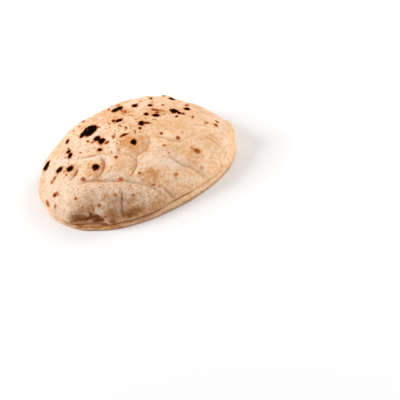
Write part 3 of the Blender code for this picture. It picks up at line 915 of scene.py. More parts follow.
@dataclass
class OvenMarksAndShade:
    """Puts the oven's marks on the crust, with painted shade and highlights: those that the picture shows,
    and more of their kind elsewhere.
    """

    camera: PhotoCamera
    tree: BVHTree
    seed: int = 11
    stretch: float = 6.0
    outside: float = -6.0
    raggedness: float = 0.3
    fine_share: float = 0.6
    rag_growth: float = 1.2
    rags: Pair = (1.0 * MM, 1.8 * MM)
    rag_patterns: tuple[int, int] = (7, 5)
    char_heat: float = 0.62
    scorched_rim: float = 0.2
    blister_share: float = 0.25
    most_blister: float = 0.45 * MM
    glow_raggedness: float = 0.25
    glow_rags: Pair = (5 * MM, 2.2 * MM)
    turning_away: Pair = (0.05, -0.25)
    unseen_contrast: float = 1.6
    unseen_marks: int = 95
    tries: int = 40
    turned_away: float = -0.12
    unseen_reach: float = 112 * MM
    sizes: tuple[float, ...] = (0.9, 1.2, 1.6, 2.2, 3.2, 4.4)
    size_odds: tuple[float, ...] = (0.26, 0.26, 0.2, 0.14, 0.1, 0.04)
    lengthening: Pair = (1.2, 2.0)
    clearance: float = 2.6
    least_clearance: float = 4 * MM
    small: float = 1.1 * MM
    kinds: tuple[Bake, ...] = (CHAR, DARK, BROWN, ORANGE, PINK)
    small_odds: tuple[float, ...] = (0.1, 0.16, 0.34, 0.24, 0.16)
    big_odds: tuple[float, ...] = (0.34, 0.16, 0.24, 0.16, 0.1)
    freckles: int = 90
    freckle_sizes: Pair = (0.5, 1.1)
    freckle_length: float = 1.5
    freckled: tuple[Pair, Pair] = ((-22, 0), (66, 48))
    freckle_kinds: tuple[Bake, ...] = (BROWN, ORANGE, PINK)
    freckle_odds: tuple[float, ...] = (0.2, 0.4, 0.4)

    def meet(self, across: float, down: float) -> tuple[Vector | None, Vector | None]:
        """Where the line of sight through a pixel meets the crust, and the crust's normal there."""
        place, normal, _, _ = self.tree.ray_cast(*self.camera.ray(across, down))
        return place, normal

    def seen_patch(self, oval: Oval) -> Patch | None:
        """Finds the patch of crust that looks like this oval in the picture.

        Args:
            oval: The oval in the picture.

        Returns:
            The patch, or None where the line of sight through the oval's middle misses the crust.
        """
        middle, normal = self.meet(oval.across, oval.down)
        if middle is None:
            return None
        climb = math.radians(oval.climb)
        axes = []
        for size, turn in ((oval.long, climb), (oval.wide, climb + math.pi / 2)):
            right, up = math.cos(turn) * size / 2, math.sin(turn) * size / 2
            ends = [self.meet(oval.across + side * right, oval.down - side * up)[0] for side in (1, -1)]
            halves = [side * (end - middle) for side, end in zip((1, -1), ends) if end is not None]
            axis = sum(halves, Vector()) / max(1, len(halves))
            limit = self.stretch * size / 2 * MM
            axes.append(np.array(axis * min(1.0, limit / max(axis.length, 1e-6))))
        return Patch(np.array(middle), *axes, np.array(normal))

    @staticmethod
    def any_way(normal: np.ndarray, dice: np.random.Generator) -> np.ndarray:
        """Draws a direction in the crust's surface, which has this normal."""
        along = np.cross(normal, dice.normal(size=3))
        return along / np.linalg.norm(along)

    def unseen_patches(
        self, points: np.ndarray, normals: np.ndarray, travelled: np.ndarray
    ) -> Iterable[Mark]:
        """Marks for the parts of the top crust that the picture doesn't show.

        Args:
            points: The crust's points.
            normals: Their normals.
            travelled: How far along the crust from the crown each point lies.

        Yields:
            A patch and how far it is baked.
        """
        dice = np.random.default_rng(self.seed)
        facing = self.camera.facing(points, normals)
        hidden = np.flatnonzero((facing < self.turned_away) & (travelled < self.unseen_reach))
        taken: list[np.ndarray] = []
        for spot in dice.permutation(hidden)[: self.tries * self.unseen_marks]:
            middle, normal = points[spot], normals[spot]
            size = dice.choice(self.sizes, p=self.size_odds) * MM
            clear = self.clearance * size + self.least_clearance
            if any(np.linalg.norm(middle - other) < clear for other in taken):
                continue
            taken.append(middle)
            along = self.any_way(normal, dice)
            long = along * size * dice.uniform(*self.lengthening)
            odds = self.big_odds if size > self.small else self.small_odds
            yield Patch(middle, long, np.cross(normal, along) * size, normal), dice.choice(self.kinds, p=odds)
            if len(taken) >= self.unseen_marks:
                return

    def freckle_patches(
        self, points: np.ndarray, normals: np.ndarray, places: np.ndarray
    ) -> Iterable[Mark]:
        """Faint flecks among the big marks, behind and to the left of the crown and in front of it.

        Args:
            points: The crust's points.
            normals: Their normals.
            places: The same points on the crust laid flat.

        Yields:
            A patch and how far it is baked.
        """
        dice = np.random.default_rng(self.seed + 1)
        area = np.flatnonzero(oval_distance(places, *self.freckled) < 1)
        for spot in dice.permutation(area)[: self.freckles]:
            normal = normals[spot]
            size = dice.uniform(*self.freckle_sizes) * MM
            along = self.any_way(normal, dice)
            bake = dice.choice(self.freckle_kinds, p=self.freckle_odds)
            long = along * size * self.freckle_length
            yield Patch(points[spot], long, np.cross(normal, along) * size, normal), bake

    def burn(
        self, values: dict[str, np.ndarray], points: np.ndarray, normals: np.ndarray, marks: Iterable[Mark]
    ) -> None:
        """Adds the small spots, each with a ragged edge and a low blister.

        Args:
            values: The named values at every point of the skin, which are raised.
            points: The skin's points.
            normals: Their normals.
            marks: The spots.
        """
        for number, (patch, bake) in enumerate(marks):
            if patch is None:
                continue
            near, distance = patch.spread(points, normals)
            half_width = min(patch.halves())
            coarse, fine = (number % count for count in self.rag_patterns)
            uneven = ripple(points[near], self.rag_growth * half_width + self.rags[0], coarse)
            uneven += self.fine_share * ripple(points[near], self.rags[1], fine)
            distance = distance * (1 + self.raggedness * uneven)
            inwards = (1 - distance) * half_width / MM
            if bake is ASH:
                raise_to(values["ash"], near, smoothstep(1.5, 0.2, distance))
                continue
            if bake is CHAR:
                raise_to(values["char_edge"], near, inwards)
                heat = self.char_heat * smoothstep(-0.7, 0.8, inwards)
                heat += self.scorched_rim * smoothstep(-3.5, 0.0, inwards)
            else:
                core, rim = smoothstep(1.3, 0.3, distance), smoothstep(2.4, 0.8, distance)
                heat = bake.value * ((1 - self.scorched_rim) * core + self.scorched_rim * rim)
            raise_to(values["toast"], near, heat)
            height = min(self.blister_share * half_width, self.most_blister)
            raise_to(values["blister"], near, height * np.exp(-(distance**2)))

    def glow(self, values: dict[str, np.ndarray], points: np.ndarray, normals: np.ndarray) -> None:
        """Adds the broad golden, tanned and floury patches, with painted shade low down and in the folds and
        painted highlight on lit ridges, also where the picture doesn't show the crust.

        Args:
            values: The named values at every point of the skin, which are raised.
            points: The skin's points.
            normals: Their normals.
        """
        for glow in GLOWS:
            patch = self.seen_patch(glow)
            if patch is None:
                continue
            near, distance = patch.spread(points, normals)
            uneven = ripple(points[near], self.glow_rags[0], Pattern.GLOW)
            uneven += self.fine_share * ripple(points[near], self.glow_rags[1], Pattern.FINE_GLOW)
            share = np.exp(-((distance * (1 + self.glow_raggedness * uneven)) ** glow.crisp))
            for name in ("golden", "tanned_and_shaded", "chalk_and_highlight"):
                raise_to(values[name], near, getattr(glow, name) * share)
        hidden = smoothstep(*self.turning_away, self.camera.facing(points, normals))
        # Values, their strength on the unseen side, their clouds' size and pattern, and their limit.
        clouds = (("golden", 0.8, 30 * MM, Pattern.GOLD, 1.3), ("tanned_and_shaded", 0.6, 24 * MM, Pattern.TAN, 2.0))
        for name, strength, size, pattern, most in clouds:
            cloud = np.clip(self.unseen_contrast * ripple(points, size, pattern), 0, 1)
            values[name] = np.clip(values[name] + hidden * strength * cloud, 0, most)

    def paint(
        self, points: np.ndarray, normals: np.ndarray, travelled: np.ndarray
    ) -> dict[str, np.ndarray]:
        """Works out how baked every point of the skin is, and where shade and highlights are painted on it.

        Args:
            points: The skin's points.
            normals: Their normals.
            travelled: How far along the crust from the crown each point lies.

        Returns:
            Named values at each point. The one that ends in edge is a distance into a mark, in millimetres.
        """
        values = {"char_edge": np.full(len(points), self.outside)}
        for name in ("toast", "ash", "golden", "tanned_and_shaded", "chalk_and_highlight", "blister"):
            values[name] = np.zeros(len(points))
        marks: list[Mark] = [(self.seen_patch(scorch), scorch.bake) for scorch in SCORCHES]
        marks += self.unseen_patches(points, normals, travelled)
        marks += self.freckle_patches(points, normals, unit(points[:, :2]) * travelled[:, None])
        self.burn(values, points, normals, marks)
        self.glow(values, points, normals)
        return values


# ------------------------------ Finishes ------------------------------

Feed = bpy.types.NodeSocket | float | Sequence[float]


@dataclass
class Sketch:
    """Adds and links nodes in one tree, from left to right."""

    tree: bpy.types.NodeTree
    column: int = 0
    spacing: tuple[int, int] = (190, 160)
    rows: int = 4

    def add(self, kind: str, **settings: object) -> bpy.types.Node:
        """Adds a node.

        Args:
            kind: Its type.
            settings: Its own settings by name.

        Returns:
            The node.
        """
        node = self.tree.nodes.new(kind)
        right, down = self.spacing
        node.location = (self.column * right, -(self.column % self.rows) * down)
        self.column += 1
        for name, value in settings.items():
            setattr(node, name, value)
        return node

    def feed(self, socket: bpy.types.NodeSocket, value: Feed) -> None:
        """Fills a socket.

        Args:
            socket: The socket.
            value: The socket to link it to, or the number or colour to set it to.
        """
        if isinstance(value, bpy.types.NodeSocket):
            self.tree.links.new(value, socket)
        else:
            socket.default_value = value

    def feed_all(self, node: bpy.types.Node, values: dict[str | int, Feed]) -> bpy.types.Node:
        """Fills some of a node's sockets, by name or number.

        Args:
            node: The node.
            values: What goes into each socket.

        Returns:
            The node.
        """
        for key, value in values.items():
            self.feed(node.inputs[key], value)
        return node

    def math(self, operation: str, *values: Feed, clamp: bool = False) -> bpy.types.NodeSocket:
        """One step of arithmetic on these values, held between 0 and 1 where clamp is true."""
        node = self.add("ShaderNodeMath", operation=operation, use_clamp=clamp)
        return self.feed_all(node, dict(enumerate(values))).outputs[0]

    def times(self, first: Feed, second: Feed, clamp: bool = False) -> bpy.types.NodeSocket:
        """Multiplies two values."""
        return self.math("MULTIPLY", first, second, clamp=clamp)

    def plus(self, first: Feed, second: Feed, clamp: bool = False) -> bpy.types.NodeSocket:
        """Adds two values."""
        return self.math("ADD", first, second, clamp=clamp)

    def line(self, value: Feed, gain: Feed, offset: Feed, clamp: bool = False) -> bpy.types.NodeSocket:
        """Multiplies a value by a gain and adds an offset."""
        return self.math("MULTIPLY_ADD", value, gain, offset, clamp=clamp)

    def mix(self, share: Feed, first: Feed, second: Feed, blend: str = "MIX") -> bpy.types.NodeSocket:
        """Mixes two colours, with this share of the second."""
        node = self.add("ShaderNodeMix", data_type="RGBA", blend_type=blend, clamp_factor=True)
        return self.feed_all(node, {0: share, 6: first, 7: second}).outputs[2]

    def ramp(self, value: Feed, low: Feed, high: Feed, top: float = 1.0) -> bpy.types.NodeSocket:
        """Rises smoothly from 0 at low to top at high."""
        node = self.add("ShaderNodeMapRange", interpolation_type="SMOOTHSTEP")
        return self.feed_all(node, dict(enumerate((value, low, high, 0.0, top)))).outputs[0]

    def ladder(self, value: Feed, steps: Sequence[tuple[float, Colour]]) -> bpy.types.NodeSocket:
        """Runs smoothly through several colours.

        Args:
            value: Where to read the colour, 0 to 1.
            steps: Each colour's place and the colour.

        Returns:
            The colour there.
        """
        node = self.add("ShaderNodeValToRGB")
        rungs = node.color_ramp.elements
        while len(rungs) < len(steps):
            rungs.new(0.5)
        for rung, (place, colour) in zip(rungs, steps):
            rung.position = place
            rung.color = colour
        self.feed(node.inputs[0], value)
        return node.outputs["Color"]

    def speckle(
        self, where: Feed, size: float, detail: float = 2.0, rough: float = 0.5
    ) -> bpy.types.NodeSocket:
        """Cloudy noise, 0 to 1, with features of about this size in metres."""
        feeds = {"Vector": where, "Scale": 1 / size, "Detail": detail, "Roughness": rough}
        return self.feed_all(self.add("ShaderNodeTexNoise", noise_dimensions="3D"), feeds).outputs["Fac"]

    def clouds(
        self, where: Feed, start: Feed, layers: Sequence[Pair], detail: float = 2.0, rough: float = 0.5
    ) -> bpy.types.NodeSocket:
        """Adds layers of cloudy noise to a value.

        Args:
            where: Where to read the noise.
            start: The value.
            layers: Each layer's size in metres and its strength.
            detail: How many finer scales the noise has.
            rough: How strong the finer scales are.

        Returns:
            The value, moved up and down.
        """
        for size, strength in layers:
            centred = self.plus(self.speckle(where, size, detail, rough), -0.5)
            start = self.line(centred, strength, start)
        return start

    def painted(self, name: str) -> bpy.types.NodeSocket:
        """A value painted on the mesh."""
        return self.add("ShaderNodeAttribute", attribute_name=name).outputs["Fac"]

    def group(self, tree: bpy.types.NodeTree, **values: Feed) -> bpy.types.NodeSocket:
        """Places a node group, feeds its inputs and gives what it puts out."""
        return self.feed_all(self.add("ShaderNodeGroup", node_tree=tree), values).outputs[0]


@dataclass(frozen=True)
class OvenEffects:
    """The node groups that the crust's finish is put together from. Layers are sizes and strengths."""

    char_rag: tuple[Pair, ...] = ((2.2 * MM, 2.6), (0.8 * MM, 1.6))
    clouds: tuple[Pair, ...] = ((16 * MM, 1.6), (6 * MM, 2.4), (3 * MM, 1.1))
    cloud_base: float = 0.3
    grains: tuple[Pair, ...] = ((1.8 * MM, 1.2), (3.6 * MM, 1.6))
    grain_range: float = 0.55
    light_share: float = 0.45
    dark_grain: Colour = linear(214, 178, 152)
    light_grain: Colour = linear(255, 236, 212)
    # Noises: size, how many finer scales, and how strong they are.
    flour_grain: tuple[float, float, float] = (1.1 * MM, 3.0, 0.6)
    flour_patch: tuple[float, float, float] = (7 * MM, 3.0, 0.6)
    skin: tuple[float, float, float] = (3.0 * MM, 4.0, 0.65)
    grit: tuple[float, float, float] = (1.5 * MM, 3.0, 0.7)

    @staticmethod
    def start(name: str, output: str, **inputs: object) -> tuple[Sketch, list, bpy.types.NodeSocket]:
        """Starts a node group that reads a place and some values.

        Args:
            name: The group's name.
            output: What it puts out: Color for a colour, and any other name for a number.
            inputs: Its inputs after the place, and their usual values: numbers or colours.

        Returns:
            A sketch of its tree, the sockets of the place and the inputs, and the socket of the result.
        """
        tree = bpy.data.node_groups.new(name, "ShaderNodeTree")
        tree.interface.new_socket(name="Vector", in_out="INPUT", socket_type="NodeSocketVector")
        for label, value in inputs.items():
            kind = "NodeSocketColor" if isinstance(value, tuple) else "NodeSocketFloat"
            tree.interface.new_socket(name=label, in_out="INPUT", socket_type=kind).default_value = value
        kind = "NodeSocketColor" if output == "Color" else "NodeSocketFloat"
        tree.interface.new_socket(name=output, in_out="OUTPUT", socket_type=kind)
        sketch = Sketch(tree)
        given, result = sketch.add("NodeGroupInput"), sketch.add("NodeGroupOutput")
        return sketch, list(given.outputs)[: len(inputs) + 1], result.inputs[output]

    def ragged_mark(self) -> bpy.types.NodeTree:
        """Turns a painted distance, in millimetres, into a mark with a ragged edge.

        Returns:
            The group.
        """
        sketch, given, result = self.start("ragged_mark", "Core", Edge=0.0, Ragged=0.5, Soft=0.3)
        where, edge, ragged, soft = given
        shake = sketch.clouds(where, 0.0, self.char_rag)
        edge = sketch.plus(edge, sketch.times(shake, ragged))
        sketch.feed(result, sketch.ramp(edge, sketch.times(soft, -1.0), soft))
        return sketch.tree

    def flour_dust(self) -> bpy.types.NodeTree:
        """Makes patchy dry flour in fine grains.

        Returns:
            The group.
        """
        sketch, (where, amount), result = self.start("flour_dust", "Dust", Amount=0.5)
        grains = sketch.ramp(sketch.speckle(where, *self.flour_grain), 0.42, 0.66)
        patches = sketch.ramp(sketch.speckle(where, *self.flour_patch), 0.35, 0.65)
        dust = sketch.times(grains, sketch.line(patches, 0.75, 0.25))
        sketch.feed(result, sketch.times(dust, amount, clamp=True))
        return sketch.tree

    def dough_tone(self) -> bpy.types.NodeTree:
        """Makes the mottled colour of baked dough: clouds of warmer crust, and a fine light and dark grain.

        Returns:
            The group.
        """
        white = (1.0, 1.0, 1.0, 1.0)
        inputs = {"Pale": white, "Warm": white, "Warmth": 0.0, "Grain": 1.0}
        sketch, given, result = self.start("dough_tone", "Color", **inputs)
        where, pale, warm, warmth, strength = given
        cloud = sketch.clouds(where, warmth, self.clouds, 3.0, 0.6)
        colour = sketch.mix(sketch.plus(cloud, self.cloud_base, clamp=True), pale, warm)
        grain = sketch.times(sketch.clouds(where, 0.0, self.grains, 2.0, 0.6), strength)
        dark, light = sketch.ramp(grain, 0.0, self.grain_range), sketch.ramp(grain, 0.0, -self.grain_range)
        colour = sketch.mix(dark, colour, self.dark_grain, "MULTIPLY")
        colour = sketch.mix(sketch.times(light, self.light_share), colour, self.light_grain)
        sketch.feed(result, colour)
        return sketch.tree

    def crust_grain(self) -> bpy.types.NodeTree:
        """Makes the fine grain of the crust, for a bump.

        Returns:
            The group.
        """
        sketch, (where, rough), result = self.start("crust_grain", "Height", Rough=0.5)
        skin = sketch.times(sketch.speckle(where, *self.skin), sketch.line(rough, 1.8, 0.2))
        grit = sketch.times(sketch.speckle(where, *self.grit), rough)
        sketch.feed(result, sketch.plus(skin, grit))
        return sketch.tree


@dataclass(frozen=True)
class CrustFinish:
    """Pale baked crust with flour, golden and tanned patches, brown spots and char, with painted shade low
    down, in the folds and in the seam's groove, and painted highlight on lit ridges.
    """

    effects: OvenEffects = OvenEffects()
    pale: Colour = linear(253, 219, 187)
    warm: Colour = linear(243, 188, 132)
    gold: Colour = linear(226, 160, 98)
    # Tanned crust, and the painted shade beside the folds.
    tan_and_shade: Colour = linear(190, 130, 80)
    # Painted deep shade in the hollow, the seam and the low front.
    deep_shade: Colour = linear(132, 78, 42)
    sole: Colour = linear(224, 178, 130)
    sole_brown: Colour = linear(170, 112, 68)
    valley_tone_and_shade: Colour = linear(214, 150, 104)
    # The colour of the painted shadow line in the folds and in the seam's groove.
    crease: Colour = linear(150, 98, 56)
    flour: Colour = linear(253, 230, 206)
    chalk_and_highlight: Colour = linear(252, 224, 203)
    dusted_toast: Colour = linear(200, 144, 120)
    char: Colour = linear(20, 9, 4)
    ash: Colour = linear(74, 64, 50)
    toasting: tuple[tuple[float, Colour], ...] = (
        (0.0, linear(236, 184, 136)),
        (0.16, linear(226, 160, 116)),
        (0.32, linear(200, 118, 62)),
        (0.48, linear(158, 78, 32)),
        (0.64, linear(104, 42, 14)),
        (0.82, linear(52, 19, 8)),
        (1.0, linear(24, 9, 4)),
    )
    # A line is a gain and an offset, a range where an effect starts and is full, and a cover its strength.
    low_shade_warmth: float = 0.2
    chalk_and_highlight_warmth: float = -0.6
    chalk_and_highlight_cover: float = 0.65
    sole_warmth: float = 0.05
    sole_grain: float = 0.8
    fleck_size: float = 2.6 * MM
    fleck_range: Pair = (0.6, 0.72)
    fleck_line: Pair = (0.5, -0.22)
    fleck_cover: float = 0.36
    golden_line: Pair = (3.2, -0.8)
    tanned_and_shaded_line: Pair = (0.8, 0.6)
    tan_and_shade_cover: float = 0.8
    deep_shade_range: Pair = (0.9, 1.8)
    valley_tone_and_shade_range: Pair = (0.1, -0.7)
    valley_tone_and_shade_cover: float = 0.65
    flour_line: Pair = (0.35, 0.06)
    flour_on_chalk_and_highlight: float = 0.7
    flour_range: Pair = (1.0, 0.2)
    fold_uneven: float = 0.8
    fold_shade_range: Pair = (4.2, 0.6)
    fold_shade_cover: float = 0.28
    # The painted shadow line in the folds and in the seam's groove.
    fold_range: Pair = (1.3, 0.5)
    fold_cover: float = 0.75
    groove_range: Pair = (0.25, 1.0)
    groove_cover: float = 0.8
    toast_cloud: float = 1.7 * MM
    toast_line: Pair = (0.9, 0.58)
    toast_range: Pair = (0.02, 0.24)
    dusted_range: Pair = (0.8, 0.3)
    dusted_cover: float = 0.55
    char_inset: float = -0.6
    char_ragged: float = 0.35
    char_soft: float = 0.28
    ash_cloud: float = 1.2 * MM
    ash_range: Pair = (0.58, 0.85)
    ash_cover: float = 0.25
    grit_line: Pair = (1.2, 0.3)
    roughness: float = 0.8
    char_smoothing: float = -0.15
    shine: float = 0.0
    glow_through: float = 0.08
    glow_radius: tuple[float, float, float] = (1.0, 0.5, 0.25)
    glow_depth: float = 1.5 * MM
    grain_strength: float = 0.9
    grain_height: float = 0.9 * MM

    def bare_dough(self, sketch: Sketch, where: Feed) -> bpy.types.NodeSocket:
        """The mottled dough: pale on top, warmer and darker low down as painted shade, chalky in places with
        flour and painted highlight, and browned on the sole.

        Args:
            sketch: The material's sketch.
            where: Where on the bread.

        Returns:
            The colour there.
        """
        tone, chalk_and_highlight = self.effects.dough_tone(), sketch.painted("chalk_and_highlight")
        # Painted shade: warmer and darker low down.
        warmth = sketch.times(sketch.painted("low_shade_band"), self.low_shade_warmth)
        warmth = sketch.line(chalk_and_highlight, self.chalk_and_highlight_warmth, warmth)
        grain = sketch.painted("grainy")
        colour = sketch.group(tone, Vector=where, Warmth=warmth, Pale=self.pale, Warm=self.warm, Grain=grain)
        tones = {"Pale": self.sole, "Warm": self.sole_brown}
        sole = sketch.group(tone, Vector=where, Warmth=self.sole_warmth, Grain=self.sole_grain, **tones)
        # Pale patches: flour, and painted highlight on lit ridges.
        colour = sketch.mix(sketch.times(chalk_and_highlight, self.chalk_and_highlight_cover), colour, self.chalk_and_highlight)
        return sketch.mix(sketch.painted("under"), colour, sole)

    def baked(self, sketch: Sketch, where: Feed, cloud: Feed, colour: Feed) -> bpy.types.NodeSocket:
        """Golden flecks, and the golden and tanned patches, broken up by clouds.

        Args:
            sketch: The material's sketch.
            where: Where on the bread.
            cloud: The clouds' noise.
            colour: The dough's colour.

        Returns:
            The colour with the patches.
        """
        flecks = sketch.ramp(sketch.speckle(where, self.fleck_size, 3.0, 0.55), *self.fleck_range)
        share = sketch.line(sketch.painted("grainy"), *self.fleck_line, clamp=True)
        share = sketch.math("MINIMUM", share, self.fleck_cover)
        colour = sketch.mix(sketch.times(flecks, share), colour, self.gold)
        golden = sketch.times(sketch.painted("golden"), sketch.line(cloud, *self.golden_line), clamp=True)
        colour = sketch.mix(golden, colour, self.gold)
        # Tanned patches, partly baked and partly painted shade; the darkest are painted shade in the hollow,
        # the seam and the low front.
        tanned_and_shaded = self.tanned_and_shaded(sketch, cloud)
        colour = sketch.mix(sketch.times(tanned_and_shaded, self.tan_and_shade_cover, clamp=True), colour, self.tan_and_shade)
        return sketch.mix(sketch.ramp(tanned_and_shaded, *self.deep_shade_range), colour, self.deep_shade)

    def tanned_and_shaded(self, sketch: Sketch, cloud: Feed) -> bpy.types.NodeSocket:
        """How tanned the crust is, with its painted shade, more in the clouds."""
        return sketch.times(sketch.painted("tanned_and_shaded"), sketch.line(cloud, *self.tanned_and_shaded_line))

    def floured(self, sketch: Sketch, where: Feed, cloud: Feed, colour: Feed) -> bpy.types.NodeSocket:
        """Browner valleys between the floury lumps, partly their own colour and partly painted shade, and the
        dust of flour, which leaves tanned and shaded crust bare.

        Args:
            sketch: The material's sketch.
            where: Where on the bread.
            cloud: The clouds' noise.
            colour: The crust's colour.

        Returns:
            The colour with the flour.
        """
        floury = sketch.painted("floury")
        # Painted shade, partly the crust's own browner colour, in the valleys between the lumps.
        low = sketch.ramp(sketch.painted("lump"), *self.valley_tone_and_shade_range)
        colour = sketch.mix(sketch.times(low, sketch.times(floury, self.valley_tone_and_shade_cover)), colour, self.valley_tone_and_shade)
        amount = sketch.line(floury, *self.flour_line)
        amount = sketch.line(sketch.painted("chalk_and_highlight"), self.flour_on_chalk_and_highlight, amount)
        amount = sketch.times(amount, sketch.ramp(self.tanned_and_shaded(sketch, cloud), *self.flour_range))
        dust = sketch.group(self.effects.flour_dust(), Vector=where, Amount=amount)
        return sketch.mix(dust, colour, self.flour)

    def creased(self, sketch: Sketch, cloud: Feed, colour: Feed) -> bpy.types.NodeSocket:
        """Painted shade: a soft shade beside the folds, and a dark shadow line in them and in the groove of
        the seam.

        Args:
            sketch: The material's sketch.
            cloud: The clouds' noise.
            colour: The crust's colour.

        Returns:
            The colour with the creases.
        """
        gap = sketch.line(cloud, self.fold_uneven, sketch.painted("fold_gap"))
        sharp = sketch.painted("fold_sharp")
        shade = sketch.times(sharp, self.fold_shade_cover)
        shade = sketch.times(sketch.ramp(gap, *self.fold_shade_range), shade)
        colour = sketch.mix(shade, colour, self.tan_and_shade)
        # A painted shadow line in the folds, and in the seam's groove.
        line = sketch.times(sketch.ramp(gap, *self.fold_range), sketch.times(sharp, self.fold_cover))
        groove = sketch.times(sketch.ramp(sketch.painted("tuck"), *self.groove_range), self.groove_cover)
        return sketch.mix(sketch.math("MAXIMUM", line, groove), colour, self.crease)

    def toasted(self, sketch: Sketch, where: Feed, colour: Feed) -> bpy.types.NodeSocket:
        """The browned spots, paler where they are dusted.

        Args:
            sketch: The material's sketch.
            where: Where on the bread.
            colour: The crust's colour.

        Returns:
            The colour with the spots.
        """
        cloud = sketch.speckle(where, self.toast_cloud, 3.0, 0.6)
        heat = sketch.times(sketch.painted("toast"), sketch.line(cloud, *self.toast_line))
        dusted = sketch.ramp(heat, *self.dusted_range, self.dusted_cover)
        dusted = sketch.times(sketch.painted("chalk_and_highlight"), dusted)
        toasted = sketch.mix(dusted, sketch.ladder(heat, self.toasting), self.dusted_toast)
        return sketch.mix(sketch.ramp(heat, *self.toast_range), colour, toasted)

    def build(self) -> bpy.types.Material:
        """Makes the material.

        Returns:
            The material.
        """
        material = bpy.data.materials.new("baked_crust")
        material.use_nodes = True
        sketch = Sketch(material.node_tree)
        where = sketch.add("ShaderNodeTexCoord").outputs["Object"]
        cloud = sketch.speckle(where, 3.6 * MM, 4.0, 0.62)
        colour = self.baked(sketch, where, cloud, self.bare_dough(sketch, where))
        colour = self.creased(sketch, cloud, self.floured(sketch, where, cloud, colour))
        colour = self.toasted(sketch, where, colour)

        edges = {"Edge": sketch.plus(sketch.painted("char_edge"), self.char_inset)}
        edges |= {"Ragged": self.char_ragged, "Soft": self.char_soft}
        core = sketch.group(self.effects.ragged_mark(), Vector=where, **edges)
        ashes = sketch.ramp(sketch.speckle(where, self.ash_cloud, 3.0, 0.7), *self.ash_range, self.ash_cover)
        cinder = sketch.mix(sketch.math("MAXIMUM", ashes, sketch.painted("ash")), self.char, self.ash)

        bump = sketch.add("ShaderNodeBump")
        grit = sketch.line(sketch.painted("floury"), *self.grit_line)
        grain = sketch.group(self.effects.crust_grain(), Vector=where, Rough=grit)
        heights = {"Strength": self.grain_strength, "Distance": self.grain_height, "Height": grain}
        feeds = {
            "Base Color": sketch.mix(core, colour, cinder),
            "Roughness": sketch.line(core, self.char_smoothing, self.roughness),
            "Specular IOR Level": self.shine,
            "Subsurface Weight": self.glow_through,
            "Subsurface Radius": self.glow_radius,
            "Subsurface Scale": self.glow_depth,
            "Normal": sketch.feed_all(bump, heights).outputs["Normal"],
        }
        sketch.feed_all(material.node_tree.nodes["Principled BSDF"], feeds)
        return material


# ------------------------------ The bread and the studio ------------------------------


